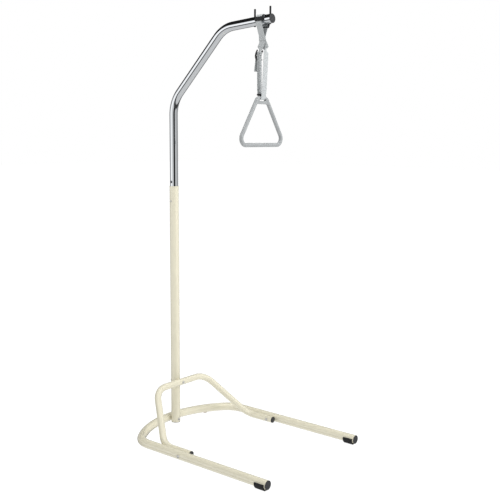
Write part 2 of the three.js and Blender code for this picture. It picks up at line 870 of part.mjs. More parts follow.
// Handle: the triangle's tube, open at the top where the slim bar crosses the slot, and the web below
function grabHandle() {
  const shoulderHeight = topBarHeight - shoulderDrop;
  const gripHeight = topBarHeight - gripDrop;
  const webTop = topBarHeight - webDrop;
  const corners = [
    point(-slotHalfWidth, strapY, shoulderHeight),
    point(-shoulderHalfWidth, strapY, shoulderHeight),
    point(-gripHalfWidth, strapY, gripHeight),
    point(gripHalfWidth, strapY, gripHeight),
    point(shoulderHalfWidth, strapY, shoulderHeight),
    point(slotHalfWidth, strapY, shoulderHeight),
  ];
  const stations = bentStations(corners, [shoulderBend, gripBend, gripBend, shoulderBend], back);
  const triangle = sweep(roundSection(gripDiameter / 2, tubeSides), stations);
  const barHalf = slotHalfWidth + webOverlap;
  const topBar = drill(point(-barHalf, strapY, topBarHeight), right, topBarDiameter / 2, 2 * barHalf);
  const lean = (gripHalfWidth - shoulderHalfWidth) / (shoulderHeight - gripHeight);
  const halfAt = (height) => shoulderHalfWidth + (shoulderHeight - height) * lean - webOverlap;
  const web = new THREE.Shape();
  web.moveTo(-halfAt(webTop - webHeight), webTop - webHeight);
  web.lineTo(halfAt(webTop - webHeight), webTop - webHeight);
  web.lineTo(halfAt(webTop), webTop);
  web.lineTo(-halfAt(webTop), webTop);
  const plate = bar(web, webThickness).rotateX(Math.PI / 2).translate(0, strapY + webThickness / 2, 0);
  return join([triangle, topBar, plate]);
}
part.add(piece("grab_handle", grabHandle(), greyPlastic));

part.position.y = (legReach - rearReach) / 2;

export default part;
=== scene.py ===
"""Dresses a free-standing lifting pole for a bed: powder-coated floor frame, hoop and upright, chrome mast,
and a grab handle on polyester webbing. Sizes in the code are millimetres; meshes are in metres."""
import json
import math

import bmesh
import bpy
import numpy as np
from bpy.props import FloatProperty, FloatVectorProperty, IntProperty, PointerProperty
from mathutils import Matrix, Vector

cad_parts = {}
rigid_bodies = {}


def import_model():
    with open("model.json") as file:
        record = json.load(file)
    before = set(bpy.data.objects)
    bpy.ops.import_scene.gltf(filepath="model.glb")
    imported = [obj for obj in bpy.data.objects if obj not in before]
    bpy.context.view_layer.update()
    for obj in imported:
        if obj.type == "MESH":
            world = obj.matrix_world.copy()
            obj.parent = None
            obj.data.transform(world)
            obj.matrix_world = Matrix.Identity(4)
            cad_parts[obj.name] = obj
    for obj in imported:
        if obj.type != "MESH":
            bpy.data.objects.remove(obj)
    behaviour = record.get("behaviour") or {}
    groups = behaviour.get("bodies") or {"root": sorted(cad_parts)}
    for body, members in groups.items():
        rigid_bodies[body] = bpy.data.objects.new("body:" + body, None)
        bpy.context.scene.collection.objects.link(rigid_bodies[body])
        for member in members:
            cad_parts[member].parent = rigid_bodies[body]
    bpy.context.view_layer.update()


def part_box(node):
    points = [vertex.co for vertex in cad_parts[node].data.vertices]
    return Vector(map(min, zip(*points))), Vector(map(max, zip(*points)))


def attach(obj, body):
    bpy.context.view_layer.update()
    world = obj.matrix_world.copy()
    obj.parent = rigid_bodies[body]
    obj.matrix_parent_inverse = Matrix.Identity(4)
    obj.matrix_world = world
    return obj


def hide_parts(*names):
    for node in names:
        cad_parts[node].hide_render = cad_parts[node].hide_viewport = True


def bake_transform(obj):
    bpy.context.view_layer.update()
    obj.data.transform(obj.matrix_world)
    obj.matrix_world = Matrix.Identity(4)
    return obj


bl_info = {
    "name": "Bed lifting pole",
    "version": (1, 0, 0),
    "blender": (4, 5, 0),
    "location": "View3D > Sidebar > Lifting pole",
    "description": "Builds the tubes, fittings, webbing and handle of a free-standing bed lifting pole",
    "category": "Object",
}

for spare in list(bpy.data.objects):
    bpy.data.objects.remove(spare)
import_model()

MM = 0.001
UPRIGHT_LOW, UPRIGHT_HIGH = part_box("lower_upright")
AXIS_Y = (UPRIGHT_LOW.y + UPRIGHT_HIGH.y) / 2


def cad_span(node, axis):
    """Where a CAD node starts and ends, in millimetres from the upright's axis on the floor, to a tenth."""
    shift = AXIS_Y if axis == "y" else 0
    return [round((getattr(corner, axis) - shift) / MM, 1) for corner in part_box(node)]


def cad_middle(node, axis):
    return sum(cad_span(node, axis)) / 2


def cad_size(node, axis):
    low, high = cad_span(node, axis)
    return high - low


# Floor frame and hoop
GAP = 0.3
BASE_RADIUS, BASE_HEIGHT = cad_size("base_frame", "z") / 2, cad_middle("base_frame", "z")
LEG_X = cad_size("base_frame", "x") / 2 - BASE_RADIUS
LEG_END = -cad_span("base_frame", "y")[0]
CORNER_RADIUS, BOW_RADIUS = 110, 440
HOOP_RADIUS = cad_size("hoop_end_cap_left", "z") / 2
HOOP_HEIGHT = cad_span("support_hoop", "z")[1] - HOOP_RADIUS
HOOP_X, HOOP_TOP_X = cad_size("support_hoop", "x") / 2 - HOOP_RADIUS, 160
HOOP_END, HOOP_HEEL, HOOP_BEND = -cad_span("support_hoop", "y")[0], 208, 90

# Upright, mast and pins
UPRIGHT_RADIUS, UPRIGHT_FOOT = cad_size("lower_upright", "x") / 2, cad_span("lower_upright", "z")[0]
UPRIGHT_TOP = cad_span("upright_collar", "z")[1]
COLLAR_RADIUS, COLLAR_HEIGHT = cad_size("upright_collar", "x") / 2, cad_size("upright_collar", "z")
COLLAR_TOP, COLLAR_SKIRT = 1.7, 0.1
MAST_RADIUS, MAST_FOOT = cad_size("mast", "x") / 2, cad_span("mast", "z")[0]
MAST_BEND_HEIGHT, MAST_BEND = 1521, 140
KNEE_REACH, KNEE_RISE = 304.6, 304.8
ARM_RISE, ARM_REACH = math.radians(4), 569
CLAMP_HEIGHT, CLAMP_REACH = cad_middle("clamp_screw", "z"), MAST_RADIUS + GAP + 2
CLAMP_HEAD, CLAMP_SHANK, CLAMP_SOCKET = cad_size("clamp_screw", "z") / 2, 2.8, 1.8
HOLE_PITCH, HOLE_RADIUS, PIN_PLAY = 89, 6, 0.15
PIN_REACHES = [-cad_middle(node, "y") for node in ("inner_strap_pin", "outer_strap_pin")]
PIN_RADIUS, PIN_RISE, PIN_DROP = cad_size("inner_strap_pin", "x") / 2, 50.5, 22
CAP_FACE, PLUG_FACE, CAP_FIT = 3.5, 3, 1.8
CAP_SPIGOT, HOOP_SPIGOT, PLUG_SPIGOT = 18, 9, 4

# Feet and fasteners
FOOT_FRONT, FOOT_REAR = (-y for y in cad_span("front_foot_left", "y"))
FOOT_OUTER, FOOT_GRIP, FOOT_ROUND = 25.28, math.radians(15), 1.6
FOOT_WELL, FOOT_WELL_TOP, FOOT_HOLE = 4.3, 3.3, 2.3
FOOT_SCREW_Y, SCREW_TOP = cad_middle("foot_screw_left", "y"), 10
FOOT_SCREW_HEAD, FOOT_SCREW_SHANK = cad_size("foot_screw_left", "x") / 2, 2
GLIDE_X, GLIDE_RADIUS = cad_middle("rear_glide_right", "x"), cad_size("rear_glide_right", "x") / 2
GLIDE_TOP, GLIDE_PIN = 3.7, 3
LEG_BOLT_Y = cad_middle("leg_left_bolt", "y")
BOLT_RADIUS, BOLT_HEAD, BOLT_HEAD_HEIGHT = 4, cad_size("leg_left_bolt", "y") / 2, 3
NUT_WIDTH, NUT_HEIGHT = cad_size("leg_left_nut", "y"), cad_size("leg_left_nut", "x")

# Webbing: heights are measured from the waist, where its two ends cross
HANG_Y = cad_middle("strap_loop", "y")
STRAP_WIDTH, STRAP_THICK = cad_size("strap_loop", "y"), 2
WAIST_DROP = 72.5
LOOP_END, LOOP_START, LOOP_BEND = 8, 8, 20
WIDEST_X, WIDEST_SHARE, WIDEST_BEND = MAST_RADIUS + 6.4, 0.87, 12
TOP_LEAN, SHOULDER_BEND = math.radians(8), 10
NEAR_SLIDE_RISE, FAR_SLIDE_DROP = 2.5, 21.5
FRONT_SPREAD, BACK_SPREAD = 20, 15
SWING_START, TWIST_START, TWIST_END, STRAND_DROP = 16, 38, 56, 68
FOOT_FRONT_SPREAD, FOOT_BACK_SPREAD, FOOT_RISE = 12, 13, 23.5
PLY_OFFSET, PLY_FLARE = 1.15, 3
ADJUSTER_DROP, LOCK_RADIUS, LOCK_GAP, SHORT_END = 73, 3.8, 2.6, 6
TAIL_SPREAD, TAIL_DROP = 30, 61
STRAND_BEND, FOOT_BEND, TAIL_BEND = 90, 30, 12
HEM_LENGTH, HEM_EXTRA = 22, 1.6
WAIST_SEAM_HALF, TAIL_SEAM_HALF, TAIL_SEAM_INSETS = 12.5, 13, (5, 17)

# Slides, adjuster and keeper
SLIDE_INNER, SLIDE_OUTER, SLIDE_END, SLIDE_HALF, SLIDE_RAIL, SLIDE_BAR = 1.3, 3.3, 9, 19, 1.7, 2.25
ADJUSTER_INNER, ADJUSTER_RAIL = 15.6, 3
ADJUSTER_BAR, ADJUSTER_LIP, LIP_DROP, ADJUSTER_SIDE = 2.5, 2, 13, (3.2, 2.6)
KEEPER_RISE, KEEPER_WALL, KEEPER_HALF = 13, 0.9, (15.3, 1.3, 4)

# Handle
HANDLE_HANG, WRAP_RADIUS = 242, 6.8
GRIP_RADIUS, GRIP_DROP, GRIP_X, GRIP_BEND = cad_size("grab_handle", "y") / 2, 194.5, 155, 27
SHOULDER_X, SHOULDER_DROP = 31, 5
SLOT_X, SLOT_BEND, SLOT_DROP, SLOT_FILLET = 20, 9, 18, 4
BAR_X, BAR_RADIUS, BAR_FILLET = 24, 5.5, 3
WEB_DROP, WEB_HALF, WEB_ROUND, WEB_FILLET = 19.1, (40, 4.5, 6.5), 1.6, 5

ORIGIN, WHITE = (0, 0, 0), (1, 1, 1, 1)
SIDES = (("left", -1), ("right", 1))

UP, BACK, LEFT, RIGHT = Vector((0, 0, 1)), Vector((0, 1, 0)), Vector((-1, 0, 0)), Vector((1, 0, 0))


def arm_height(reach):
    """Height of the arm's centre line at a reach from the upright."""
    return MAST_BEND_HEIGHT + KNEE_RISE + (reach - KNEE_REACH) * math.tan(ARM_RISE)


ARM_AT_STRAP = arm_height(-HANG_Y)
ARM_ALONG = Vector((0, -math.cos(ARM_RISE), math.sin(ARM_RISE)))
WAIST = ARM_AT_STRAP - WAIST_DROP
TWIST_FOOT = WAIST - TWIST_END
BRANCH_TOP = WAIST + LOOP_START
BRANCH_OFFSET = PLY_OFFSET + STRAP_THICK + GAP
WIDEST = WAIST + WAIST_DROP * WIDEST_SHARE
LOOP_LIFT = STRAP_WIDTH / 2 * math.tan(ARM_RISE) + GAP + STRAP_THICK / 2
LOOP_TOP = ARM_AT_STRAP + MAST_RADIUS / math.cos(ARM_RISE) + LOOP_LIFT
BRANCH_LEAN = math.atan2(WIDEST_X - BRANCH_OFFSET, WIDEST - BRANCH_TOP)
ADJUSTER_LOCK = WAIST - ADJUSTER_DROP
ADJUSTER_TOP = ADJUSTER_LOCK + 2 * LOCK_RADIUS + LOCK_GAP
ADJUSTER_Y = BACK_SPREAD + LOCK_RADIUS
TOP_BAR = WAIST - HANDLE_HANG


def to_metres(p):
    """A point in millimetres from the upright's axis on the floor, as a point of the frame."""
    return Vector((p[0] * MM, AXIS_Y + p[1] * MM, p[2] * MM))


def linear(code):
    """The linear colour of an sRGB hex value."""
    parts = [int(code[i:i + 2], 16) / 255 for i in (1, 3, 5)]
    return [c / 12.92 if c <= 0.04045 else ((c + 0.055) / 1.055) ** 2.4 for c in parts]


def colour_prop(name, description, code):
    return FloatVectorProperty(name=name, description=description, subtype="COLOR", size=3, min=0, max=1,
                               default=linear(code))


def length_prop(name, description, size):
    return FloatProperty(name=name, description=description, unit="LENGTH", default=size * MM, min=0)


class TubeSizes(bpy.types.PropertyGroup):
    """Sizes of the bent tubes."""
    base_diameter: length_prop("Floor tube", "Outside diameter of the floor frame's tube", 2 * BASE_RADIUS)
    hoop_diameter: length_prop("Hoop tube", "Outside diameter of the bracing hoop's tube", 2 * HOOP_RADIUS)
    upright_diameter: length_prop("Upright tube", "Outside diameter of the upright", 2 * UPRIGHT_RADIUS)
    mast_diameter: length_prop("Mast tube", "Outside diameter of the chrome mast", 2 * MAST_RADIUS)
    wall: length_prop("Wall", "Wall thickness of all tubes", 1.5)
    sides: IntProperty(name="Sides", description="Sides of a tube's section", default=64, min=12, max=128)
    rings: IntProperty(name="Rings", description="Rings in each bend", default=40, min=4, max=96)


class StrapSizes(bpy.types.PropertyGroup):
    """Sizes of the webbing and its sewing."""
    width: length_prop("Width", "Width of the webbing", STRAP_WIDTH)
    thickness: length_prop("Thickness", "Thickness of the webbing", STRAP_THICK)
    thread: length_prop("Thread", "Diameter of the sewing thread", 0.9)
    stitch: length_prop("Stitch", "Length of one stitch", 2.6)
    pitch: length_prop("Stitch pitch", "Distance from one stitch to the next", 3.4)


class Finishes(bpy.types.PropertyGroup):
    """Colours of the finishes."""
    enamel: colour_prop("Powder coat", "Cream powder coat of the frame", "#E0DBC5")
    chrome: colour_prop("Chrome", "Reflection tint of the chrome plating", "#E4E7EA")
    caps: colour_prop("Caps", "Black polyethylene of the caps", "#37383A")
    rubber: colour_prop("Rubber", "Black rubber of the feet", "#1B1B1C")
    zinc: colour_prop("Zinc", "Zinc plating of the fasteners", "#DEDDD8")
    nylon: colour_prop("Nylon", "Natural nylon of the rear glides", "#E5E2D8")
    webbing: colour_prop("Webbing", "Grey polyester webbing", "#B7BBBC")
    thread: colour_prop("Thread", "Grey sewing thread", "#C3C6C8")
    buckles: colour_prop("Buckles", "Black acetal of the slides and adjuster", "#1F2022")
    handle: colour_prop("Handle", "Light grey plastic of the handle", "#9EA1A2")


class StageSettings(bpy.types.PropertyGroup):
    """Camera, lights and floor."""
    lens: FloatProperty(name="Lens", description="Focal length in millimetres", default=58.877, min=1)
    sky: FloatProperty(name="Surround", description="Brightness of the surround that lights the pole",
                       default=0.42, min=0)
    floor: FloatProperty(name="Floor", description="Glow of the white floor", default=1.0, min=0)
    key: FloatProperty(name="Key light", description="Power of the light on the right", unit="POWER",
                       default=80, min=0)
    top: FloatProperty(name="Top light", description="Power of the light overhead", unit="POWER", default=90,
                       min=0)
    fill: FloatProperty(name="Fill light", description="Power of the light over the camera", unit="POWER",
                        default=20, min=0)


# Meshes


def bare_object(name, points, edges=(), faces=()):
    """A mesh object from points in metres."""
    mesh = bpy.data.meshes.new(name)
    mesh.from_pydata([tuple(p) for p in points], edges, faces)
    mesh.update()
    made = bpy.data.objects.new(name, mesh)
    bpy.context.scene.collection.objects.link(made)
    return made


def shade(made, smooth=35):
    """Shades an object smooth but for edges sharper than an angle in degrees."""
    made.data.polygons.foreach_set("use_smooth", [True] * len(made.data.polygons))
    made.data.set_sharp_from_angle(angle=math.radians(smooth))


def new_object(name, points, faces, smooth=35):
    """A mesh object with its faces shaded."""
    made = bare_object(name, points, faces=faces)
    shade(made, smooth)
    return made


def merge(parts):
    """Joins (points, faces) lists."""
    points, faces = [], []
    for more_points, more_faces in parts:
        start = len(points)
        points.extend(more_points)
        faces.extend(tuple(i + start for i in face) for face in more_faces)
    return points, faces


def softened(outline, radius, steps=5):
    """Rounds the inner corners of an outline, as much as its sides allow."""
    made = [outline[0]]
    for before, here, after in zip(outline, outline[1:], outline[2:]):
        corner = Vector(here)
        one, two = Vector(before) - corner, Vector(after) - corner
        reach = min(radius, 0.48 * one.length, 0.48 * two.length)
        start, end = corner + one.normalized() * reach, corner + two.normalized() * reach
        for i in range(steps + 1):
            t = i / steps
            made.append(tuple(start * (1 - t) ** 2 + corner * 2 * t * (1 - t) + end * t * t))
    made.append(outline[-1])
    return made


def turned(profile, place, direction, sides=56):
    """A turned solid from (radius, height) pairs in millimetres, placed with its height along a direction.
    A profile that doesn't start on the axis closes on itself."""
    turn = UP.rotation_difference(direction).to_matrix()
    closed = profile[0][0] > 0
    rings = profile[:-1] if closed else profile
    points, faces, rows = [], [], []
    for radius, height in rings:
        if radius < 1e-6:
            rows.append([len(points)] * sides)
            points.append(to_metres(Vector(place) + turn @ Vector((0, 0, height))))
            continue
        rows.append(list(range(len(points), len(points) + sides)))
        for i in range(sides):
            angle = 2 * math.pi * i / sides
            spoke = Vector((radius * math.cos(angle), radius * math.sin(angle), height))
            points.append(to_metres(Vector(place) + turn @ spoke))
    pairs = list(zip(rows, rows[1:])) + ([(rows[-1], rows[0])] if closed else [])
    for low, high in pairs:
        for i in range(sides):
            j = (i + 1) % sides
            face = list(dict.fromkeys([low[i], low[j], high[j], high[i]]))
            if len(face) > 2:
                faces.append(tuple(face))
    return points, faces


def outward(made):
    """Turns the faces of a closed mesh outwards."""
    work = bmesh.new()
    work.from_mesh(made.data)
    bmesh.ops.remove_doubles(work, verts=work.verts, dist=1e-7)
    bmesh.ops.recalc_face_normals(work, faces=work.faces)
    work.to_mesh(made.data)
    work.free()
    made.data.update()
    return made


def apply_modifiers(made):
    """Turns the evaluated object into a plain mesh and drops its modifiers."""
    bpy.context.view_layer.update()
    graph = bpy.context.evaluated_depsgraph_get()
    mesh = bpy.data.meshes.new_from_object(made.evaluated_get(graph), depsgraph=graph)
    made.modifiers.clear()
    made.data = mesh
    return made


def carved(made, shapes, operation="DIFFERENCE"):
    """Cuts closed (points, faces) shapes out of an object, or trims the object to them."""
    tool = outward(new_object("cutter", *merge(shapes)))
    cut = made.modifiers.new("Carve", "BOOLEAN")
    cut.object, cut.operation, cut.solver = tool, operation, "EXACT"
    cut.use_self = operation == "DIFFERENCE"
    apply_modifiers(made)
    bpy.data.objects.remove(tool)
    return made


def solid(name, shape, cutters=(), trim=None, smooth=35):
    """A closed object from (points, faces), trimmed to a closed shape, with others cut out of it."""
    made = outward(new_object(name, *shape))
    if trim:
        carved(made, [trim], "INTERSECT")
    if cutters:
        carved(made, cutters)
    shade(made, smooth)
    return made


# Paths


def bent(corners, radii, step=math.radians(4)):
    """Points and headings along straights that are joined by round bends."""
    corners = [Vector(c) for c in corners]
    heads = [(b - a).normalized() for a, b in zip(corners, corners[1:])]
    line = [(corners[0], heads[0])]
    for corner, before, after, radius in zip(corners[1:], heads, heads[1:], radii):
        turn = before.angle(after)
        inward = (after - before * math.cos(turn)).normalized()
        start = corner - before * radius * math.tan(turn / 2)
        centre = start + inward * radius
        steps = math.ceil(turn / step)
        for i in range(steps + 1):
            angle = turn * i / steps
            spoke = before * math.sin(angle) - inward * math.cos(angle)
            line.append((centre + spoke * radius, before * math.cos(angle) + inward * math.sin(angle)))
    line.append((corners[-1], heads[-1]))
    return line


def smoothstep(value, end):
    """A soft step from 0 to 1 as a value goes from 0 to its end."""
    t = min(max(value / end, 0), 1)
    return t * t * (3 - 2 * t)


def tangent_lean(offset, rise, radius):
    """How far a line from beside a circle leans so that it just touches the circle."""
    return math.asin(radius / math.hypot(offset, rise)) - math.atan2(offset, rise)


# Node trees


def add_node(tree, kind, inputs=None, **settings):
    """Adds one node with its settings, and sets or links its inputs."""
    made = tree.nodes.new(kind)
    for key, value in settings.items():
        setattr(made, key, value)
    for key, value in (inputs or {}).items():
        if isinstance(value, bpy.types.NodeSocket):
            tree.links.new(value, made.inputs[key])
        else:
            made.inputs[key].default_value = value
    return made


def new_tree(name, sockets):
    """A geometry tree with named inputs, and its input node."""
    tree = bpy.data.node_groups.new(name, "GeometryNodeTree")
    for label, kind in [("Geometry", "Geometry"), *sockets]:
        tree.interface.new_socket(label, in_out="INPUT", socket_type="NodeSocket" + kind)
    tree.interface.new_socket("Geometry", in_out="OUTPUT", socket_type="NodeSocketGeometry")
    return tree, tree.nodes.new("NodeGroupInput")


def end_tree(tree, geometry, finish):
    """Ends a tree in Realize Instances and Set Material."""
    real = add_node(tree, "GeometryNodeRealizeInstances", {"Geometry": geometry})
    painted = add_node(tree, "GeometryNodeSetMaterial", {"Geometry": real.outputs[0], "Material": finish})
    add_node(tree, "NodeGroupOutput", {"Geometry": painted.outputs[0]})
    return tree


def run_tree(made, tree, **values):
    """Runs a tree on an object and keeps the result as its mesh. A name's underscores stand for spaces."""
    modifier = made.modifiers.new(tree.name, "NODES")
    modifier.node_group = tree
    for item in tree.interface.items_tree:
        key = item.name.replace(" ", "_").lower()
        if item.in_out == "INPUT" and key in values:
            modifier[item.identifier] = values[key]
    return apply_modifiers(made)


def bent_tube_tree():
    """A line's corners rounded to their own radii, and a round section swept along it."""
    tree, given = new_tree("Bent tube", [("Radius", "Float"), ("Sides", "Int"), ("Rings", "Int"),
                                         ("Finish", "Material")])
    line = add_node(tree, "GeometryNodeMeshToCurve", {"Mesh": given.outputs["Geometry"]})
    bend = add_node(tree, "GeometryNodeInputNamedAttribute", {"Name": "bend"}, data_type="FLOAT")
    path = add_node(tree, "GeometryNodeFilletCurve",
                    {"Curve": line.outputs[0], "Count": given.outputs["Rings"], "Radius": bend.outputs[0]},
                    mode="POLY")
    section = add_node(tree, "GeometryNodeCurvePrimitiveCircle",
                       {"Resolution": given.outputs["Sides"], "Radius": given.outputs["Radius"]})
    tube = add_node(tree, "GeometryNodeCurveToMesh",
                    {"Curve": path.outputs[0], "Profile Curve": section.outputs[0]})
    smooth = add_node(tree, "GeometryNodeSetShadeSmooth", {"Geometry": tube.outputs[0]})
    return end_tree(tree, smooth.outputs[0], given.outputs["Finish"])


def fasteners_tree():
    """A head at each point, and a shank that is stretched to the point's own reach."""
    tree, given = new_tree("Fasteners", [("Head", "Object"), ("Shank", "Object"), ("Finish", "Material")])
    turn = add_node(tree, "GeometryNodeInputNamedAttribute", {"Name": "turn"}, data_type="FLOAT_VECTOR")
    reach = add_node(tree, "GeometryNodeInputNamedAttribute", {"Name": "reach"}, data_type="FLOAT_VECTOR")
    joined = add_node(tree, "GeometryNodeJoinGeometry")
    for name in ("Shank", "Head"):
        shape = add_node(tree, "GeometryNodeObjectInfo", {"Object": given.outputs[name]})
        copies = add_node(tree, "GeometryNodeInstanceOnPoints",
                          {"Points": given.outputs["Geometry"], "Instance": shape.outputs["Geometry"],
                           "Rotation": turn.outputs[0]})
        if name == "Shank":
            tree.links.new(reach.outputs[0], copies.inputs["Scale"])
        tree.links.new(copies.outputs[0], joined.inputs[0])
    return end_tree(tree, joined.outputs[0], given.outputs["Finish"])


def stitches_tree():
    """A stitch at each point, turned along its seam."""
    tree, given = new_tree("Stitches", [("Length", "Float"), ("Thread", "Float"), ("Finish", "Material")])
    turn = add_node(tree, "GeometryNodeInputNamedAttribute", {"Name": "turn"}, data_type="FLOAT_VECTOR")
    bead = add_node(tree, "GeometryNodeMeshIcoSphere", {"Radius": 0.5, "Subdivisions": 2})
    thread = given.outputs["Thread"]
    size = add_node(tree, "ShaderNodeCombineXYZ", {"X": thread, "Y": thread, "Z": given.outputs["Length"]})
    copies = add_node(tree, "GeometryNodeInstanceOnPoints",
                      {"Points": given.outputs["Geometry"], "Instance": bead.outputs["Mesh"],
                       "Rotation": turn.outputs[0], "Scale": size.outputs[0]})
    smooth = add_node(tree, "GeometryNodeSetShadeSmooth", {"Geometry": copies.outputs[0]})
    return end_tree(tree, smooth.outputs[0], given.outputs["Finish"])


def point_object(name, places):
    """Bare points with a turn each, and a reach where given, for the trees to put copies on."""
    made = bare_object(name, [to_metres(p) for p, *_ in places])
    turn = made.data.attributes.new("turn", "FLOAT_VECTOR", "POINT")
    reach = made.data.attributes.new("reach", "FLOAT_VECTOR", "POINT")
    for i, (_, direction, *length) in enumerate(places):
        turn.data[i].vector = UP.rotation_difference(direction).to_euler()
        reach.data[i].vector = (1, 1, (length[0] if length else 1) * MM)
    return made


# Materials


def new_material(name):
    """A material, its tree, its shader and the piece's own coordinates."""
    made = bpy.data.materials.new(name)
    made.use_nodes = True
    tree = made.node_tree
    tree.nodes.clear()
    shader = add_node(tree, "ShaderNodeBsdfPrincipled")
    add_node(tree, "ShaderNodeOutputMaterial", {"Surface": shader.outputs[0]})
    return made, tree, shader, add_node(tree, "ShaderNodeTexCoord").outputs["Object"]


def grains(where, size, detail, roughness=0.5):
    """Inputs of a noise whose grains are a size in millimetres across, on coordinates in metres."""
    return {"Vector": where, "Scale": 1 / (size * MM), "Detail": detail, "Roughness": roughness}


def shares(colour, *levels):
    """Shares of a colour, as inputs 6 and 7 of a colour mix."""
    return {6 + i: [*(min(c * level, 1) for c in colour), 1] for i, level in enumerate(levels)}


def mottled(name, colour, tone, gloss=None, grain=None, sockets=None, span=(0, 1), patchy=0.5, drawn=1):
    """A finish whose tone and gloss drift in patches, over a fine relief that can be drawn out along Z.
    Tone, gloss and grain each start with the size of their patches in millimetres and the detail in them.
    Two limits follow: the darkest and lightest shares of the colour, the lowest and highest roughness, or the
    depth in millimetres and the strength of the relief. The tone runs over a span of its noise."""
    made, tree, shader, where = new_material(name)
    size, detail, dark, light = tone
    patches = add_node(tree, "ShaderNodeTexNoise", grains(where, size, detail, patchy))
    factor = add_node(tree, "ShaderNodeMapRange",
                      {"Value": patches.outputs[0], "From Min": span[0], "From Max": span[1]})
    mix = add_node(tree, "ShaderNodeMix", {"Factor": factor.outputs[0], **shares(colour, dark, light)},
                   data_type="RGBA")
    tree.links.new(mix.outputs[2], shader.inputs["Base Color"])
    if gloss:
        size, detail, low, high = gloss
        rubbed = add_node(tree, "ShaderNodeTexNoise", grains(where, size, detail, patchy))
        level = add_node(tree, "ShaderNodeMapRange",
                         {"Value": rubbed.outputs[0], "From Min": 0.3, "From Max": 0.7, "To Min": low,
                          "To Max": high})
        tree.links.new(level.outputs[0], shader.inputs["Roughness"])
    if grain:
        size, detail, depth, strength = grain
        along = add_node(tree, "ShaderNodeMapping", {"Vector": where, "Scale": (1, 1, 1 / drawn)})
        height = add_node(tree, "ShaderNodeTexNoise", grains(along.outputs[0], size, detail))
        relief = add_node(tree, "ShaderNodeBump",
                          {"Height": height.outputs[0], "Distance": depth * MM, "Strength": strength})
        tree.links.new(relief.outputs[0], shader.inputs["Normal"])
    for key, value in (sockets or {}).items():
        shader.inputs[key].default_value = value
    return made


def powder_coat(colour):
    """Polyester powder coat on steel: glossy, with a fine orange peel and a faint unevenness of tone."""
    return mottled("cream_powder_coat_on_steel", colour, tone=(45, 3, 0.95, 1.03), gloss=(14, 4, 0.1, 0.17),
                   grain=(1.8, 1, 0.012, 0.3),
                   sockets={"IOR": 1.6, "Coat Weight": 0.5, "Coat Roughness": 0.06})


def chrome_plate(colour):
    """Polished chrome on steel tube: a mirror, with a faint haze of handling and hairline wiping marks."""
    return mottled("polished_chrome_plate", colour, tone=(30, 5, 0.96, 1), gloss=(30, 5, 0.035, 0.1),
                   grain=(1.2, 2, 0.006, 0.3), sockets={"Metallic": 1}, drawn=16.7)


def polyethylene(colour):
    """Injection-moulded black polyethylene: a soft sheen over a fine moulded grain."""
    return mottled("moulded_black_polyethylene", colour, tone=(6, 3, 0.8, 1.2), gloss=(6, 3, 0.4, 0.55),
                   grain=(0.7, 2, 0.04, 0.5), sockets={"IOR": 1.51})


def natural_rubber(colour):
    """Moulded black rubber: matt, dusty in its pores, and lighter where it has been handled."""
    return mottled("moulded_black_rubber", colour, tone=(9, 6, 0.9, 1.8), gloss=(9, 6, 0.72, 0.9),
                   grain=(0.9, 3, 0.08, 0.6), sockets={"IOR": 1.52}, span=(0.45, 0.8), patchy=0.65)


def zinc_plate(colour):
    """Bright zinc on steel screws and pins: a soft metal gleam, cloudy where the plating is thicker."""
    return mottled("bright_zinc_plate", colour, tone=(4, 4, 0.82, 1.05), gloss=(4, 4, 0.22, 0.4),
                   grain=(0.5, 2, 0.01, 0.4), sockets={"Metallic": 0.5})


def natural_nylon(colour):
    """Moulded natural nylon: milky and slightly waxy."""
    return mottled("moulded_natural_nylon", colour, tone=(5, 2, 0.94, 1), gloss=(5, 2, 0.42, 0.55),
                   sockets={"IOR": 1.53, "Subsurface Weight": 0.15, "Subsurface Scale": 2 * MM})


def abs_plastic(colour):
    """Injection-moulded ABS: an even semi-gloss with a very fine eroded texture."""
    return mottled("moulded_grey_abs", colour, tone=(35, 3, 0.97, 1.02), gloss=(8, 5, 0.26, 0.34),
                   grain=(2.5, 1, 0.005, 0.3), sockets={"IOR": 1.53})


def black_acetal(colour):
    """Moulded acetal of slides and buckles: hard, dark and smooth, worn a little duller in places."""
    return mottled("moulded_black_acetal", colour, tone=(3, 4, 0.85, 1.25), gloss=(3, 4, 0.28, 0.42),
                   grain=(0.5, 2, 0.02, 0.4), sockets={"IOR": 1.48})


def sewing_thread(colour):
    """Bonded polyester thread: twisted, slightly shiny."""
    return mottled("bonded_polyester_thread", colour, tone=(0.8, 2, 0.75, 1.1), grain=(0.8, 2, 0.05, 0.5),
                   sockets={"Roughness": 0.6})


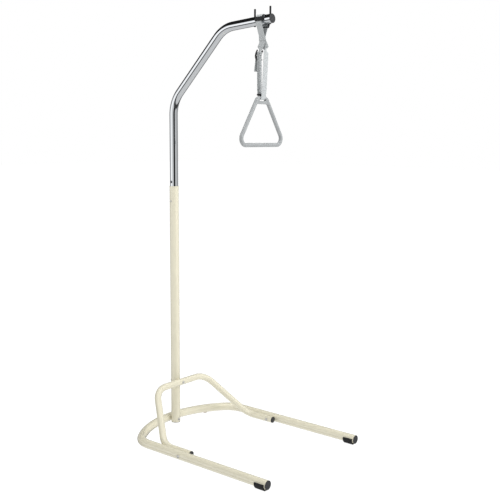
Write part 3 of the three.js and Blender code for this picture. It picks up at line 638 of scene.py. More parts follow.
def woven_polyester(colour):
    """Woven polyester webbing: matt ribs along the strap, crossed by the weft, with a soft sheen at the
    turns. A real rib is about 1 mm wide; it is drawn at 1.5 mm, because a finer one doesn't show."""
    made, tree, shader, _ = new_material("woven_grey_polyester_webbing")
    weave = add_node(tree, "ShaderNodeUVMap", uv_map="weave").outputs[0]
    across, along, _ = add_node(tree, "ShaderNodeSeparateXYZ", {"Vector": weave}).outputs
    rib, weft, fuzz_per_mm = 1.5, 1.1, 2.2

    # Neighbouring ribs pass over and under the weft in turn
    number = add_node(tree, "ShaderNodeMath", {0: across, 1: rib}, operation="DIVIDE")
    whole = add_node(tree, "ShaderNodeMath", {0: number.outputs[0]}, operation="FLOOR")
    half_turn = add_node(tree, "ShaderNodeMath", {0: whole.outputs[0], 1: math.pi}, operation="MULTIPLY")
    waves = []
    for source, pitch, shift in ((across, rib, -math.pi / 2), (along, weft, half_turn.outputs[0])):
        phase = add_node(tree, "ShaderNodeMath", {0: source, 1: 2 * math.pi / pitch, 2: shift},
                         operation="MULTIPLY_ADD")
        waves.append(add_node(tree, "ShaderNodeMath", {0: phase.outputs[0]}, operation="SINE").outputs[0])
    ribs, over = waves
    height = add_node(tree, "ShaderNodeMath", {0: over, 1: 0.6, 2: ribs}, operation="MULTIPLY_ADD")
    fuzz = add_node(tree, "ShaderNodeTexNoise", {"Vector": weave, "Scale": fuzz_per_mm, "Detail": 3})
    mixed = add_node(tree, "ShaderNodeMath", {0: fuzz.outputs[0], 1: 0.8, 2: height.outputs[0]},
                     operation="MULTIPLY_ADD")
    # The colour follows the weave's height: painted shade darkens the yarn where the weave dips, and the fuzz
    # adds a random tone
    tone = add_node(tree, "ShaderNodeMapRange",
                    {"Value": mixed.outputs[0], "From Min": -1.4, "From Max": 1.9})
    tint = add_node(tree, "ShaderNodeMix", {"Factor": tone.outputs[0], **shares(colour, 0.76, 1.1)},
                    data_type="RGBA")
    relief = add_node(tree, "ShaderNodeBump",
                      {"Height": mixed.outputs[0], "Distance": 0.13 * MM, "Strength": 0.5})
    for source, key in ((tint.outputs[2], "Base Color"), (relief.outputs[0], "Normal")):
        tree.links.new(source, shader.inputs[key])
    for key, value in (("Roughness", 0.86), ("Sheen Weight", 0.25), ("Sheen Roughness", 0.45)):
        shader.inputs[key].default_value = value
    return made


# Each finish's material, and the name of its slot, which the script doesn't use
RECIPES = {
    "enamel": (powder_coat, "cream_enamel"), "chrome": (chrome_plate, "chrome_mast"),
    "caps": (polyethylene, "black_caps"), "rubber": (natural_rubber, "foot_rubber"),
    "zinc": (zinc_plate, "zinc_fasteners"), "nylon": (natural_nylon, "nylon_glides"),
    "webbing": (woven_polyester, "grey_webbing"), "thread": (sewing_thread, "grey_webbing"),
    "buckles": (black_acetal, "black_buckles"), "handle": (abs_plastic, "grey_handle"),
}
made_finishes = {}


def finish_of(key):
    """The material of a finish, made once with the colour in its setting."""
    if key not in made_finishes:
        recipe, _ = RECIPES[key]
        made_finishes[key] = recipe(list(getattr(bpy.context.scene.pole_finishes, key)))
    return made_finishes[key]


def fitted(made, finish, body, *nodes):
    """Gives a piece its finish, its body and the nodes that it stands for."""
    made.data.materials.clear()
    made.data.materials.append(finish_of(finish))
    if body:
        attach(made, body)
    if nodes:
        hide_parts(*nodes)
    return made


def tube(name, corners, bends, diameter):
    """A bent tube with its wall, from its corners and the radius at each."""
    sizes = bpy.context.scene.pole_tubes
    edges = [(i, i + 1) for i in range(len(corners) - 1)]
    made = bare_object(name, [to_metres(c) for c in corners], edges)
    bend = made.data.attributes.new("bend", "FLOAT", "POINT")
    bend.data.foreach_set("value", [b * MM for b in (0, *bends, 0)])
    tree = bpy.data.node_groups.get("Bent tube") or bent_tube_tree()
    run_tree(made, tree, radius=diameter / 2, sides=sizes.sides, rings=sizes.rings)
    wall = made.modifiers.new("Wall", "SOLIDIFY")
    wall.thickness, wall.offset = sizes.wall, -1
    apply_modifiers(made)
    outward_open(made)
    shade(made)
    return made


def outward_open(made):
    """Keeps a tube's outer skin outwards whichever way its section was swept."""
    work = bmesh.new()
    work.from_mesh(made.data)
    if work.calc_volume(signed=True) < 0:
        bmesh.ops.reverse_faces(work, faces=work.faces)
    work.to_mesh(made.data)
    work.free()


# Moulded pieces: a distance function gives the exact surface, and a voxel skin gives its faces


def rod_distance(p, a, b, radius):
    """Distances of points from a round-ended rod."""
    a, b = np.array(a, float), np.array(b, float)
    along = b - a
    t = np.clip((p - a) @ along / (along @ along), 0, 1)
    return np.linalg.norm(p - a - t[:, None] * along, axis=1) - radius


def slab_distance(p, centre, half, rounding, turn=None):
    """Distances of points from a slab with rounded edges."""
    local = p - np.array(centre, float)
    if turn is not None:
        local = local @ np.array(turn, float)
    out = np.abs(local) - (np.array(half, float) - rounding)
    return np.linalg.norm(np.maximum(out, 0), axis=1) + np.minimum(out.max(axis=1), 0) - rounding


def blended(one, two, width):
    """The lower of two distances, with a fillet where they meet."""
    share = np.maximum(width - np.abs(one - two), 0) / width
    return np.minimum(one, two) - share * share * width / 4


def moulded(name, seeds, distance, pitch):
    """A moulded solid: the seeds' voxel skin, moved onto the surface where the distance is zero."""
    made = solid(name, merge(seeds))
    skin = made.modifiers.new("Skin", "REMESH")
    skin.mode, skin.voxel_size, skin.adaptivity = "VOXEL", pitch * MM, 0
    apply_modifiers(made)
    axis = np.array((0, AXIS_Y / MM, 0))
    flat = np.zeros(len(made.data.vertices) * 3)
    made.data.vertices.foreach_get("co", flat)
    p = flat.reshape(-1, 3) / MM - axis
    small, rounds = 0.02, 8
    nudges = np.eye(3) * small
    for _ in range(rounds):
        level = distance(p)
        slope = np.stack([(distance(p + n) - distance(p - n)) / (2 * small) for n in nudges], axis=1)
        reach = np.clip(level / np.maximum((slope ** 2).sum(axis=1), 0.2), -pitch, pitch)
        p = p - slope * reach[:, None]
    made.data.vertices.foreach_set("co", ((p + axis) * MM).ravel())
    made.data.update()
    shade(made, 180)
    return made


def rod_seed(a, b, radius, sides=16):
    """A rod as (points, faces)."""
    a, b = Vector(a), Vector(b)
    length = (b - a).length
    profile = [(0, 0), (radius, 0), (radius, length), (0, length)]
    return turned(profile, a, (b - a).normalized(), sides)


def slab_seed(centre, half, turn=None):
    """A slab as (points, faces)."""
    turn = Matrix(turn) if turn is not None else Matrix.Identity(3)
    points = []
    for z in (-1, 1):
        for x, y in ((-1, -1), (1, -1), (1, 1), (-1, 1)):
            corner = Vector((x * half[0], y * half[1], z * half[2]))
            points.append(to_metres(Vector(centre) + turn @ corner))
    faces = [(0, 3, 2, 1), (4, 5, 6, 7), (0, 1, 5, 4), (1, 2, 6, 5), (2, 3, 7, 6), (3, 0, 4, 7)]
    return points, faces


# Webbing


def ribbon(name, stations, hems=()):
    """Webbing along (point, along, across) stations, with rounded selvedges and a UV map in millimetres.
    A hem is a (start, end, extra) stretch of the length that is thicker, where the end is folded and sewn."""
    sizes = bpy.context.scene.pole_strap
    width, thick = sizes.width / MM, sizes.thickness / MM
    columns, arc = 14, 5
    flat = width / 2 - thick / 2
    section = []
    for side in (1, -1):
        section += [(side * flat * (2 * i / columns - 1), side * 0.5) for i in range(columns + 1)]
        for angle in (math.pi * i / arc for i in range(1, arc)):
            section.append((side * (flat + thick / 2 * math.sin(angle)), side * 0.5 * math.cos(angle)))
    count = len(section)
    lengths = [0]
    for (before, *_), (here, *_) in zip(stations, stations[1:]):
        lengths.append(lengths[-1] + (here - before).length)
    hem_slope = 1.5
    points = []
    for (point, along, across), at in zip(stations, lengths):
        across = (across - along * across.dot(along)).normalized()
        normal = along.cross(across)
        full = thick + sum(extra * smoothstep(at - start, hem_slope) * smoothstep(end - at, hem_slope)
                           for start, end, extra in hems if start < at < end)
        for side, level in section:
            points.append(to_metres(point + across * side + normal * level * full))
    faces, uvs = [], []
    for i in range(len(stations) - 1):
        for j in range(count):
            k = (j + 1) % count
            faces.append((i * count + j, (i + 1) * count + j, (i + 1) * count + k, i * count + k))
            one, two = section[j][0], section[k][0]
            uvs.extend([(one, lengths[i]), (one, lengths[i + 1]), (two, lengths[i + 1]), (two, lengths[i])])
    last = (len(stations) - 1) * count
    for start, at, order in ((0, lengths[0], range(count)), (last, lengths[-1], range(count - 1, -1, -1))):
        faces.append(tuple(start + j for j in order))
        uvs.extend([(section[j][0], at) for j in order])
    made = new_object(name, points, faces, smooth=60)
    layer = made.data.uv_layers.new(name="weave")
    layer.data.foreach_set("uv", [value for uv in uvs for value in uv])
    return made


def crossing(side, spread_y, swing_top, steps=56):
    """Stations of a ply that crosses at the waist in its own plane, then turns a quarter about its length."""
    places = []
    for i in range(steps + 1):
        z = BRANCH_TOP + (TWIST_FOOT - BRANCH_TOP) * i / steps
        swing = smoothstep(swing_top - z, swing_top - TWIST_FOOT)
        turn = math.pi / 2 * smoothstep(WAIST - TWIST_START - z, TWIST_END - TWIST_START)
        flare = PLY_FLARE * smoothstep(WAIST - LOOP_END - z, TWIST_END - LOOP_END)
        x = side * (PLY_OFFSET + flare) * math.cos(turn)
        places.append((Vector((x, HANG_Y + spread_y * swing, z)),
                       Vector((side * math.sin(turn), side * math.cos(turn), 0))))
    line = []
    for i, (point, across) in enumerate(places):
        before, after = places[max(i - 1, 0)][0], places[min(i + 1, steps)][0]
        line.append((point, (after - before).normalized(), across))
    return line


def across_line(line, across):
    """Stations with the same way across, from a line's points and headings."""
    return [(point, along, across) for point, along in line]


def divided(stations, longest=4):
    """Adds stations on the straights, so that no two are further apart than the longest gap."""
    made = [stations[0]]
    for here in stations[1:]:
        before = made[-1]
        gap = (here[0] - before[0]).length
        if gap < 0.05:
            continue
        parts = math.ceil(gap / longest)
        for i in range(1, parts):
            t = i / parts
            made.append(tuple(a.lerp(b, t) for a, b in zip(before, here)))
        made.append(here)
    return made


class LIFTPOLE_OT_floor_frame(bpy.types.Operator):
    """Builds the floor frame and the bracing hoop from bent tube"""
    bl_idname = "liftpole.floor_frame"
    bl_label = "Floor frame and hoop"

    def execute(self, context):
        sizes = context.scene.pole_tubes
        half_turn = math.asin((LEG_X - CORNER_RADIUS) / (BOW_RADIUS - CORNER_RADIUS))
        bow_y = UPRIGHT_RADIUS + GAP + BASE_RADIUS
        tip_y = bow_y - BOW_RADIUS + BOW_RADIUS / math.cos(half_turn)
        knee_y = tip_y - LEG_X * math.tan(half_turn)
        z = BASE_HEIGHT
        corners = [(-LEG_X, -LEG_END, z), (-LEG_X, knee_y, z), (0, tip_y, z), (LEG_X, knee_y, z),
                   (LEG_X, -LEG_END, z)]
        bends = (CORNER_RADIUS, BOW_RADIUS, CORNER_RADIUS)
        made = tube("floor_frame_tube", corners, bends, sizes.base_diameter)
        fitted(made, "enamel", "base", "base_frame")
        hoop_y = -(UPRIGHT_RADIUS + GAP + HOOP_RADIUS)
        half = [(HOOP_X, -HOOP_END, z), (HOOP_X, -HOOP_HEEL, z), (HOOP_TOP_X, hoop_y, HOOP_HEIGHT)]
        corners = [(-x, y, h) for x, y, h in half] + half[::-1]
        made = tube("bracing_hoop_tube", corners, (HOOP_BEND,) * 4, sizes.hoop_diameter)
        fitted(made, "enamel", "base", "support_hoop")
        return {"FINISHED"}


class LIFTPOLE_OT_upright(bpy.types.Operator):
    """Builds the upright and the collar on its rim"""
    bl_idname = "liftpole.upright"
    bl_label = "Upright and collar"

    def execute(self, context):
        sizes = context.scene.pole_tubes
        top = UPRIGHT_TOP - COLLAR_TOP - GAP
        made = tube("upright_tube", [(0, 0, UPRIGHT_FOOT), (0, 0, top)], (), sizes.upright_diameter)
        fitted(made, "enamel", "base", "lower_upright")
        bore, skirt, foot = MAST_RADIUS + GAP, UPRIGHT_RADIUS + COLLAR_SKIRT, UPRIGHT_TOP - COLLAR_HEIGHT
        seat = UPRIGHT_TOP - COLLAR_TOP
        profile = softened([(bore, seat), (skirt, seat), (skirt, foot), (COLLAR_RADIUS, foot),
                            (COLLAR_RADIUS, UPRIGHT_TOP), (bore, UPRIGHT_TOP), (bore, seat)], 0.8)
        made = solid("upright_collar_lip", turned(profile, ORIGIN, UP, 72))
        fitted(made, "enamel", "base", "upright_collar")
        return {"FINISHED"}


def cap(radius, spigot, place, inward_way, face=CAP_FACE):
    """A push-in cap: a softly domed face with a rounded rim, and a barbed spigot inside the tube."""
    dome, rim, edge_round, barb = 0.175, 1.1, 1.6, 0.8
    spigot_radius = radius - CAP_FIT
    profile = [(0, -face), (radius * 0.55, dome - face), (radius, rim - face), (radius, -GAP / 2),
               (spigot_radius, -GAP / 2)]
    profile = softened(profile, edge_round)
    barbs = 3
    for i in range(barbs):
        low, high = (i + 0.35) * spigot / barbs, (i + 0.85) * spigot / barbs
        profile += [(spigot_radius - barb, low), (spigot_radius, low + barb / 2),
                    (spigot_radius - barb, high)]
    profile += [(spigot_radius - 1.5, spigot), (0, spigot)]
    return turned(profile, place, inward_way, 64)


class LIFTPOLE_OT_caps(bpy.types.Operator):
    """Builds the push-in caps of the legs, hoop and upright"""
    bl_idname = "liftpole.caps"
    bl_label = "Tube caps"

    def execute(self, context):
        for name, side in SIDES:
            shape = cap(BASE_RADIUS, CAP_SPIGOT, (side * LEG_X, -LEG_END, BASE_HEIGHT), BACK)
            fitted(solid("leg_cap_" + name, shape), "caps", "base", "leg_end_cap_" + name)
            shape = cap(HOOP_RADIUS, HOOP_SPIGOT, (side * HOOP_X, -HOOP_END, BASE_HEIGHT), BACK)
            fitted(solid("hoop_cap_" + name, shape), "caps", "base", "hoop_end_cap_" + name)
        shape = cap(UPRIGHT_RADIUS, PLUG_SPIGOT, (0, 0, UPRIGHT_FOOT), UP, PLUG_FACE)
        fitted(solid("upright_foot_cap", shape), "caps", "base", "upright_foot_plug")
        return {"FINISHED"}


def saddle(side):
    """A rounded band under the leg and up its sides, flat where it stands on the floor."""
    inner, outer = BASE_RADIUS + GAP, FOOT_OUTER
    length = FOOT_FRONT - FOOT_REAR
    arc = 72
    ends = [FOOT_ROUND * (1 - math.cos(math.radians(a))) for a in range(0, 91, 15)]
    rows = ends + [length - e for e in ends[::-1]]
    count = 2 * (arc + 1)
    start, turn = math.pi - FOOT_GRIP, math.pi + 2 * FOOT_GRIP

    def rounded(depth):
        """How far the band's skin draws in at a depth from its edge."""
        share = max(0, 1 - depth / FOOT_ROUND)
        return FOOT_ROUND * (1 - math.sqrt(1 - share * share))

    points, faces = [], []
    for along in rows:
        cut = rounded(min(along, length - along))
        ring = []
        for j in range(arc + 1):
            lip = rounded(min(j, arc - j) * turn / arc * outer)
            ring.append((start + turn * j / arc, outer - max(cut, lip), cut / 2))
        ring += [(angle, inner, 0) for angle, *_ in ring[::-1]]
        for angle, reach, floor in ring:
            z = max(BASE_HEIGHT + reach * math.sin(angle), floor)
            points.append(to_metres((side * LEG_X + reach * math.cos(angle), along - FOOT_FRONT, z)))
    for i in range(len(rows) - 1):
        for j in range(count):
            k = (j + 1) % count
            faces.append((i * count + j, i * count + k, (i + 1) * count + k, (i + 1) * count + j))
    for row in (0, len(rows) - 1):
        for j in range(arc):
            a, b = row * count + j, row * count + count - 1 - j
            faces.append((a, a + 1, b - 1, b))
    return points, faces


def glide_centre(side):
    """Where a rear glide stands under the bow."""
    bow_y = UPRIGHT_RADIUS + GAP + BASE_RADIUS - BOW_RADIUS
    return (side * GLIDE_X, bow_y + math.sqrt(BOW_RADIUS ** 2 - GLIDE_X ** 2), 0)


class LIFTPOLE_OT_feet(bpy.types.Operator):
    """Builds the rubber front feet and the nylon rear glides"""
    bl_idname = "liftpole.feet"
    bl_label = "Feet and glides"

    def execute(self, context):
        well = [(0, -2), (FOOT_WELL, -2), (FOOT_WELL, FOOT_WELL_TOP), (FOOT_HOLE, FOOT_WELL_TOP),
                (FOOT_HOLE, 8), (0, 8)]
        glide = softened([(0, 0), (GLIDE_RADIUS - 1, 0), (GLIDE_RADIUS, 1.4), (GLIDE_RADIUS, GLIDE_TOP),
                          (GLIDE_PIN, GLIDE_TOP), (GLIDE_PIN, SCREW_TOP), (0, SCREW_TOP)], 1)
        for name, side in SIDES:
            well_shape = turned(well, (side * LEG_X, FOOT_SCREW_Y, 0), UP, 40)
            made = solid("rubber_foot_" + name, saddle(side), [well_shape])
            fitted(made, "rubber", "base", "front_foot_" + name)
            made = solid("floor_glide_" + name, turned(glide, glide_centre(side), UP, 48))
            fitted(made, "nylon", "base", "rear_glide_" + name)
        return {"FINISHED"}


def template(name, shape, cutters=(), trim=None):
    """A shape at the origin for a tree to copy. Its place in the frame is taken out."""
    made = solid(name, shape, cutters, trim, 30)
    made.data.transform(Matrix.Translation((0, -AXIS_Y, 0)))
    made.hide_render = True
    return made


def bolt_head():
    """A domed head with a hexagon socket, its seat at zero and its top below."""
    dome = [(BOLT_HEAD * math.cos(a), -BOLT_HEAD_HEIGHT * math.sin(a))
            for a in (math.radians(d) for d in range(0, 71, 7))]
    profile = [(0, -BOLT_HEAD_HEIGHT), *dome[::-1], (BOLT_HEAD - 0.3, 0.15), (0, 0.15)]
    socket = turned([(0, -4), (2.9, -4), (2.9, -1.1), (0, -1.1)], ORIGIN, UP, 6)
    return template("bolt_head_shape", turned(profile, ORIGIN, UP, 40), [socket])


def hex_nut():
    """A chamfered hexagon nut, and the bolt's end that stands a little out of it."""
    corner, bore = NUT_WIDTH / math.sqrt(3), BOLT_RADIUS + 0.25
    prism = turned([(0, 0), (corner, 0), (corner, NUT_HEIGHT), (0, NUT_HEIGHT)], ORIGIN, UP, 6)
    chamfer = turned([(0, 0), (corner - 1, 0), (corner + 0.2, 0.75), (corner + 0.2, NUT_HEIGHT - 0.75),
                      (corner - 1, NUT_HEIGHT), (0, NUT_HEIGHT)], ORIGIN, UP, 48)
    hole = turned([(0, 1), (bore, 1), (bore, 8), (0, 8)], ORIGIN, UP, 40)
    end = [(0, 0.2), (BOLT_RADIUS, 0.2), (BOLT_RADIUS, NUT_HEIGHT + 0.7), (BOLT_RADIUS - 0.5, NUT_HEIGHT + 1),
           (0, NUT_HEIGHT + 1)]
    return (template("nut_shape", prism, [hole], chamfer),
            template("bolt_end_shape", turned(end, ORIGIN, UP, 40)))


def joint_places():
    """Where each bolt's head sits, the way it points, and how much tube it passes."""
    hoop_y = -(UPRIGHT_RADIUS + GAP + 2 * HOOP_RADIUS)
    tubes = 2 * HOOP_RADIUS + GAP + 2 * UPRIGHT_RADIUS
    places = [((0, hoop_y, HOOP_HEIGHT), BACK, tubes),
              ((0, -UPRIGHT_RADIUS, BASE_HEIGHT), BACK, 2 * UPRIGHT_RADIUS + GAP + 2 * BASE_RADIUS)]
    outer, inner = LEG_X + BASE_RADIUS, HOOP_X - HOOP_RADIUS
    for side, way in ((-1, RIGHT), (1, LEFT)):
        places.append(((side * outer, LEG_BOLT_Y, BASE_HEIGHT), way, outer - inner))
    return places


class LIFTPOLE_OT_fasteners(bpy.types.Operator):
    """Builds the bolts, nuts, foot screws and clamping screw"""
    bl_idname = "liftpole.fasteners"
    bl_label = "Bolts, nuts and screws"

    def execute(self, context):
        tree = fasteners_tree()
        head = bolt_head()
        shank = turned([(0, 0), (BOLT_RADIUS, 0), (BOLT_RADIUS, 1 / MM), (0, 1 / MM)], ORIGIN, UP, 32)
        shank = template("shank_shape", shank)
        nut, end = hex_nut()
        seats, ends = [], []
        for place, way, grip in joint_places():
            seats.append((Vector(place) - way * GAP, way, grip + GAP))
            ends.append((Vector(place) + way * (grip + GAP), way, 1 / MM))
        joints = ("hoop", "base", "leg_left", "leg_right")
        for kind, places, shapes in (("bolt", seats, (head, shank)), ("nut", ends, (nut, end))):
            made = run_tree(point_object(f"frame_{kind}s", places), tree, head=shapes[0], shank=shapes[1])
            shade(made, 30)
            fitted(made, "zinc", "base", *(f"{joint}_{kind}" for joint in joints))
            for spare in shapes:
                bpy.data.objects.remove(spare)

        place = (-CLAMP_REACH, 0, CLAMP_HEIGHT)
        pan = softened([(0, -3), (3.4, -3), (CLAMP_HEAD, -1.9), (CLAMP_HEAD, 0), (CLAMP_SHANK, 0),
                        (CLAMP_SHANK, 2), (0, 2)], 0.9)
        socket = turned([(0, -4), (CLAMP_SOCKET, -4), (CLAMP_SOCKET, -1), (0, -1)], place, RIGHT, 6)
        made = solid("clamping_screw", turned(pan, place, RIGHT, 40), [socket], smooth=30)
        fitted(made, "zinc", "base", "clamp_screw")

        pan = softened([(0, 1), (3.4, 1), (FOOT_SCREW_HEAD, 1.8), (FOOT_SCREW_HEAD, 2.9),
                        (FOOT_SCREW_SHANK, 3.1), (FOOT_SCREW_SHANK, SCREW_TOP), (0, SCREW_TOP)], 0.4)
        screws = [turned(pan, (side * LEG_X, FOOT_SCREW_Y, 0), UP, 32) for _, side in SIDES]
        made = solid("foot_screws", merge(screws), smooth=30)
        fitted(made, "zinc", "base", "foot_screw_left", "foot_screw_right")
        return {"FINISHED"}


class LIFTPOLE_OT_mast(bpy.types.Operator):
    """Builds the chrome mast with its holes, cap, plug and pins"""
    bl_idname = "liftpole.mast"
    bl_label = "Mast, arm and pins"

    def execute(self, context):
        reach = ARM_REACH - CAP_FACE * math.cos(ARM_RISE)
        end = (0, -reach, arm_height(reach))
        corners = [(0, 0, MAST_FOOT), (0, 0, MAST_BEND_HEIGHT),
                   (0, -KNEE_REACH, MAST_BEND_HEIGHT + KNEE_RISE), end]
        diameter = context.scene.pole_tubes.mast_diameter
        made = tube("chrome_mast_tube", corners, (MAST_BEND, MAST_BEND), diameter)
        # The height holes go through the left wall only, and the pins through both walls of the arm
        inside, through = 5, 2 * MAST_RADIUS
        hole = [(0, inside), (HOLE_RADIUS, inside), (HOLE_RADIUS, through), (0, through)]
        cutters = [turned(hole, (0, 0, CLAMP_HEIGHT + i * HOLE_PITCH), LEFT, 48) for i in (-1, 0, 1)]
        bore = PIN_RADIUS + PIN_PLAY
        hole = [(0, -through), (bore, -through), (bore, through), (0, through)]
        cutters += [turned(hole, (0, -reach, arm_height(reach)), UP, 40) for reach in PIN_REACHES]
        carved(made, cutters)
        shade(made)
        fitted(made, "chrome", "mast", "mast")

        shape = cap(MAST_RADIUS, CAP_SPIGOT, end, -ARM_ALONG)
        fitted(solid("arm_cap", shape), "caps", "mast", "arm_end_cap")
        shape = cap(MAST_RADIUS, CAP_SPIGOT, (0, 0, MAST_FOOT), UP, PLUG_FACE)
        fitted(solid("mast_foot_cap", shape), "caps", "mast_foot", "mast_foot_plug")
        profile = softened([(0, -PIN_DROP), (PIN_RADIUS, -PIN_DROP), (PIN_RADIUS, PIN_RISE), (0, PIN_RISE)],
                           2.6, 8)
        for name, reach in zip(("inner", "outer"), PIN_REACHES):
            shape = turned(profile, (0, -reach, arm_height(reach)), UP, 40)
            fitted(solid(name + "_pin", shape, smooth=50), "buckles", "mast", name + "_strap_pin")
        return {"FINISHED"}


class LIFTPOLE_OT_webbing(bpy.types.Operator):
    """Builds the webbing over the arm, the sling round the handle and the short end"""
    bl_idname = "liftpole.webbing"
    bl_label = "Webbing"

    def execute(self, context):
        shoulder = WIDEST_X - (LOOP_TOP - WIDEST) * math.tan(TOP_LEAN)
        half = [(BRANCH_OFFSET, WAIST - LOOP_END), (BRANCH_OFFSET, BRANCH_TOP), (WIDEST_X, WIDEST),
                (shoulder, LOOP_TOP)]
        corners = [(-x, HANG_Y, z) for x, z in half] + [(x, HANG_Y, z) for x, z in half[::-1]]
        bends = (LOOP_BEND, WIDEST_BEND, SHOULDER_BEND)
        line = bent(corners, bends + bends[::-1], step=math.radians(5))
        made = ribbon("webbing_over_arm", divided(across_line(line, BACK)))
        fitted(made, "webbing", "strap_upper", "strap_loop")

        def wrap_corner(spread_y):
            """Where the strap's leaning side would meet the level under the strap bar."""
            lean = tangent_lean(spread_y, FOOT_RISE, WRAP_RADIUS)
            return WRAP_RADIUS * math.tan((math.pi / 2 + lean) / 2)

        lock_y = ADJUSTER_Y + LOCK_RADIUS
        spots = [(-FRONT_SPREAD, TWIST_FOOT), (-FRONT_SPREAD, WAIST - STRAND_DROP),
                 (-FOOT_FRONT_SPREAD, TOP_BAR + FOOT_RISE),
                 (-wrap_corner(FOOT_FRONT_SPREAD), TOP_BAR - WRAP_RADIUS),
                 (wrap_corner(FOOT_BACK_SPREAD), TOP_BAR - WRAP_RADIUS),
                 (FOOT_BACK_SPREAD, TOP_BAR + FOOT_RISE), (BACK_SPREAD, ADJUSTER_LOCK),
                 (BACK_SPREAD, ADJUSTER_LOCK + LOCK_RADIUS), (lock_y, ADJUSTER_LOCK + LOCK_RADIUS),
                 (lock_y, ADJUSTER_LOCK - LOCK_RADIUS), (TAIL_SPREAD, ADJUSTER_LOCK - TAIL_DROP)]
        radii = (STRAND_BEND, FOOT_BEND, WRAP_RADIUS, WRAP_RADIUS, FOOT_BEND, STRAND_BEND, LOCK_RADIUS,
                 LOCK_RADIUS, TAIL_BEND)
        strand = bent([(0, HANG_Y + y, z) for y, z in spots], radii, step=math.radians(8))
        stations = divided(crossing(1, -FRONT_SPREAD, BRANCH_TOP) + across_line(strand[1:], RIGHT))
        total = sum((b[0] - a[0]).length for a, b in zip(stations, stations[1:]))
        made = ribbon("webbing_sling", stations, [(total - HEM_LENGTH, total + 5, HEM_EXTRA)])
        fitted(made, "webbing", None, "strap_sling")
        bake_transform(made)

        spots = [(BACK_SPREAD, TWIST_FOOT), (BACK_SPREAD, ADJUSTER_TOP - LOCK_RADIUS),
                 (lock_y, ADJUSTER_TOP - LOCK_RADIUS), (lock_y, ADJUSTER_TOP + SHORT_END)]
        strand = bent([(0, HANG_Y + y, z) for y, z in spots], (LOCK_RADIUS, LOCK_RADIUS),
                      step=math.radians(8))
        stations = crossing(-1, BACK_SPREAD, WAIST - SWING_START) + across_line(strand[1:], LEFT)
        made = ribbon("webbing_short_end", divided(stations))
        fitted(made, "webbing", None, "strap_short_end")
        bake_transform(made)
        return {"FINISHED"}


def seam(points, lift, pitch):
    """Stitch places along a line of points, lifted off it, each lying along the seam."""
    places = []
    for a, b in zip(points, points[1:]):
        a, b = Vector(a), Vector(b)
        count = max(1, round((b - a).length / pitch))
        for i in range(count):
            places.append((a.lerp(b, (i + 0.5) / count) + lift, (b - a).normalized()))
    return places


class LIFTPOLE_OT_stitching(bpy.types.Operator):
    """Sews the waist of the strap and the hem of its tail"""
    bl_idname = "liftpole.stitching"
    bl_label = "Stitching"

    def execute(self, context):
        strap = context.scene.pole_strap
        tree = stitches_tree()
        pitch = strap.pitch / MM
        values = dict(length=strap.stitch, thread=strap.thread)
        on_line = Vector(ORIGIN)
        low, high, half = WAIST - 6, BRANCH_TOP - 1, WAIST_SEAM_HALF
        places = []
        for _, side in SIDES:
            front_low, back_low, back_high, front_high = (
                (side * (BRANCH_OFFSET + STRAP_THICK / 2), HANG_Y + y, z)
                for y, z in ((-half, low), (half, low), (half, high), (-half, high)))
            places += seam([front_low, back_low, back_high, front_high, front_low, back_high], on_line, pitch)
            places += seam([back_low, front_high], on_line, pitch)
        made = run_tree(point_object("waist_stitches", places), tree, **values)
        fitted(made, "thread", "strap_upper")

        top = Vector((0, HANG_Y + ADJUSTER_Y + LOCK_RADIUS, ADJUSTER_LOCK - LOCK_RADIUS))
        foot = Vector((0, HANG_Y + TAIL_SPREAD, ADJUSTER_LOCK - TAIL_DROP))
        along = (foot - top).normalized()
        out = along.cross(RIGHT).normalized() * (STRAP_THICK / 2 + HEM_EXTRA / 2)
        half = RIGHT * TAIL_SEAM_HALF
        places = []
        for inset in TAIL_SEAM_INSETS:
            middle = foot - along * inset
            for face in (-1, 1):
                places += seam([middle - half, middle + half], out * face, pitch)
        made = run_tree(point_object("tail_hem_stitches", places), tree, **values)
        fitted(made, "thread", "strap_lower")
        return {"FINISHED"}


def slide_parts(side, x, height, lean):
    """A slide on a branch, its cover away from the arm: centres and halves of its slabs, and their turn."""
    turn = Matrix.Rotation(side * lean, 3, "Y") @ Matrix.Rotation(math.pi if side < 0 else 0, 3, "Z")
    middle = Vector((side * x, HANG_Y, height))
    level, thin = (SLIDE_OUTER + SLIDE_INNER) / 2, (SLIDE_OUTER - SLIDE_INNER) / 2
    bar, rail = SLIDE_END - SLIDE_BAR, SLIDE_HALF - SLIDE_RAIL
    slabs = [((level, 0, 0), (thin, SLIDE_HALF, SLIDE_END))]
    slabs += [((-level, 0, z), (thin, SLIDE_HALF, SLIDE_BAR)) for z in (-bar, bar)]
    slabs += [((0, y, 0), (SLIDE_OUTER, SLIDE_RAIL, SLIDE_END)) for y in (-rail, rail)]
    return [(middle + turn @ Vector(centre), half, turn) for centre, half in slabs]


def moulded_bars(name, slabs, rods, rounding, fillet, pitch):
    """A moulded frame of rounded slabs (centre, half sizes, turn) and round rods (start, end, radius)."""
    seeds = [slab_seed(c, h, t) for c, h, t in slabs] + [rod_seed(a, b, r) for a, b, r in rods]

    def distance(p):
        found = None
        levels = [slab_distance(p, c, h, min(rounding, min(h) * 0.95), t) for c, h, t in slabs]
        levels += [rod_distance(p, a, b, r) for a, b, r in rods]
        for level in levels:
            found = level if found is None else blended(found, level, fillet)
        return found
    return moulded(name, seeds, distance, pitch)


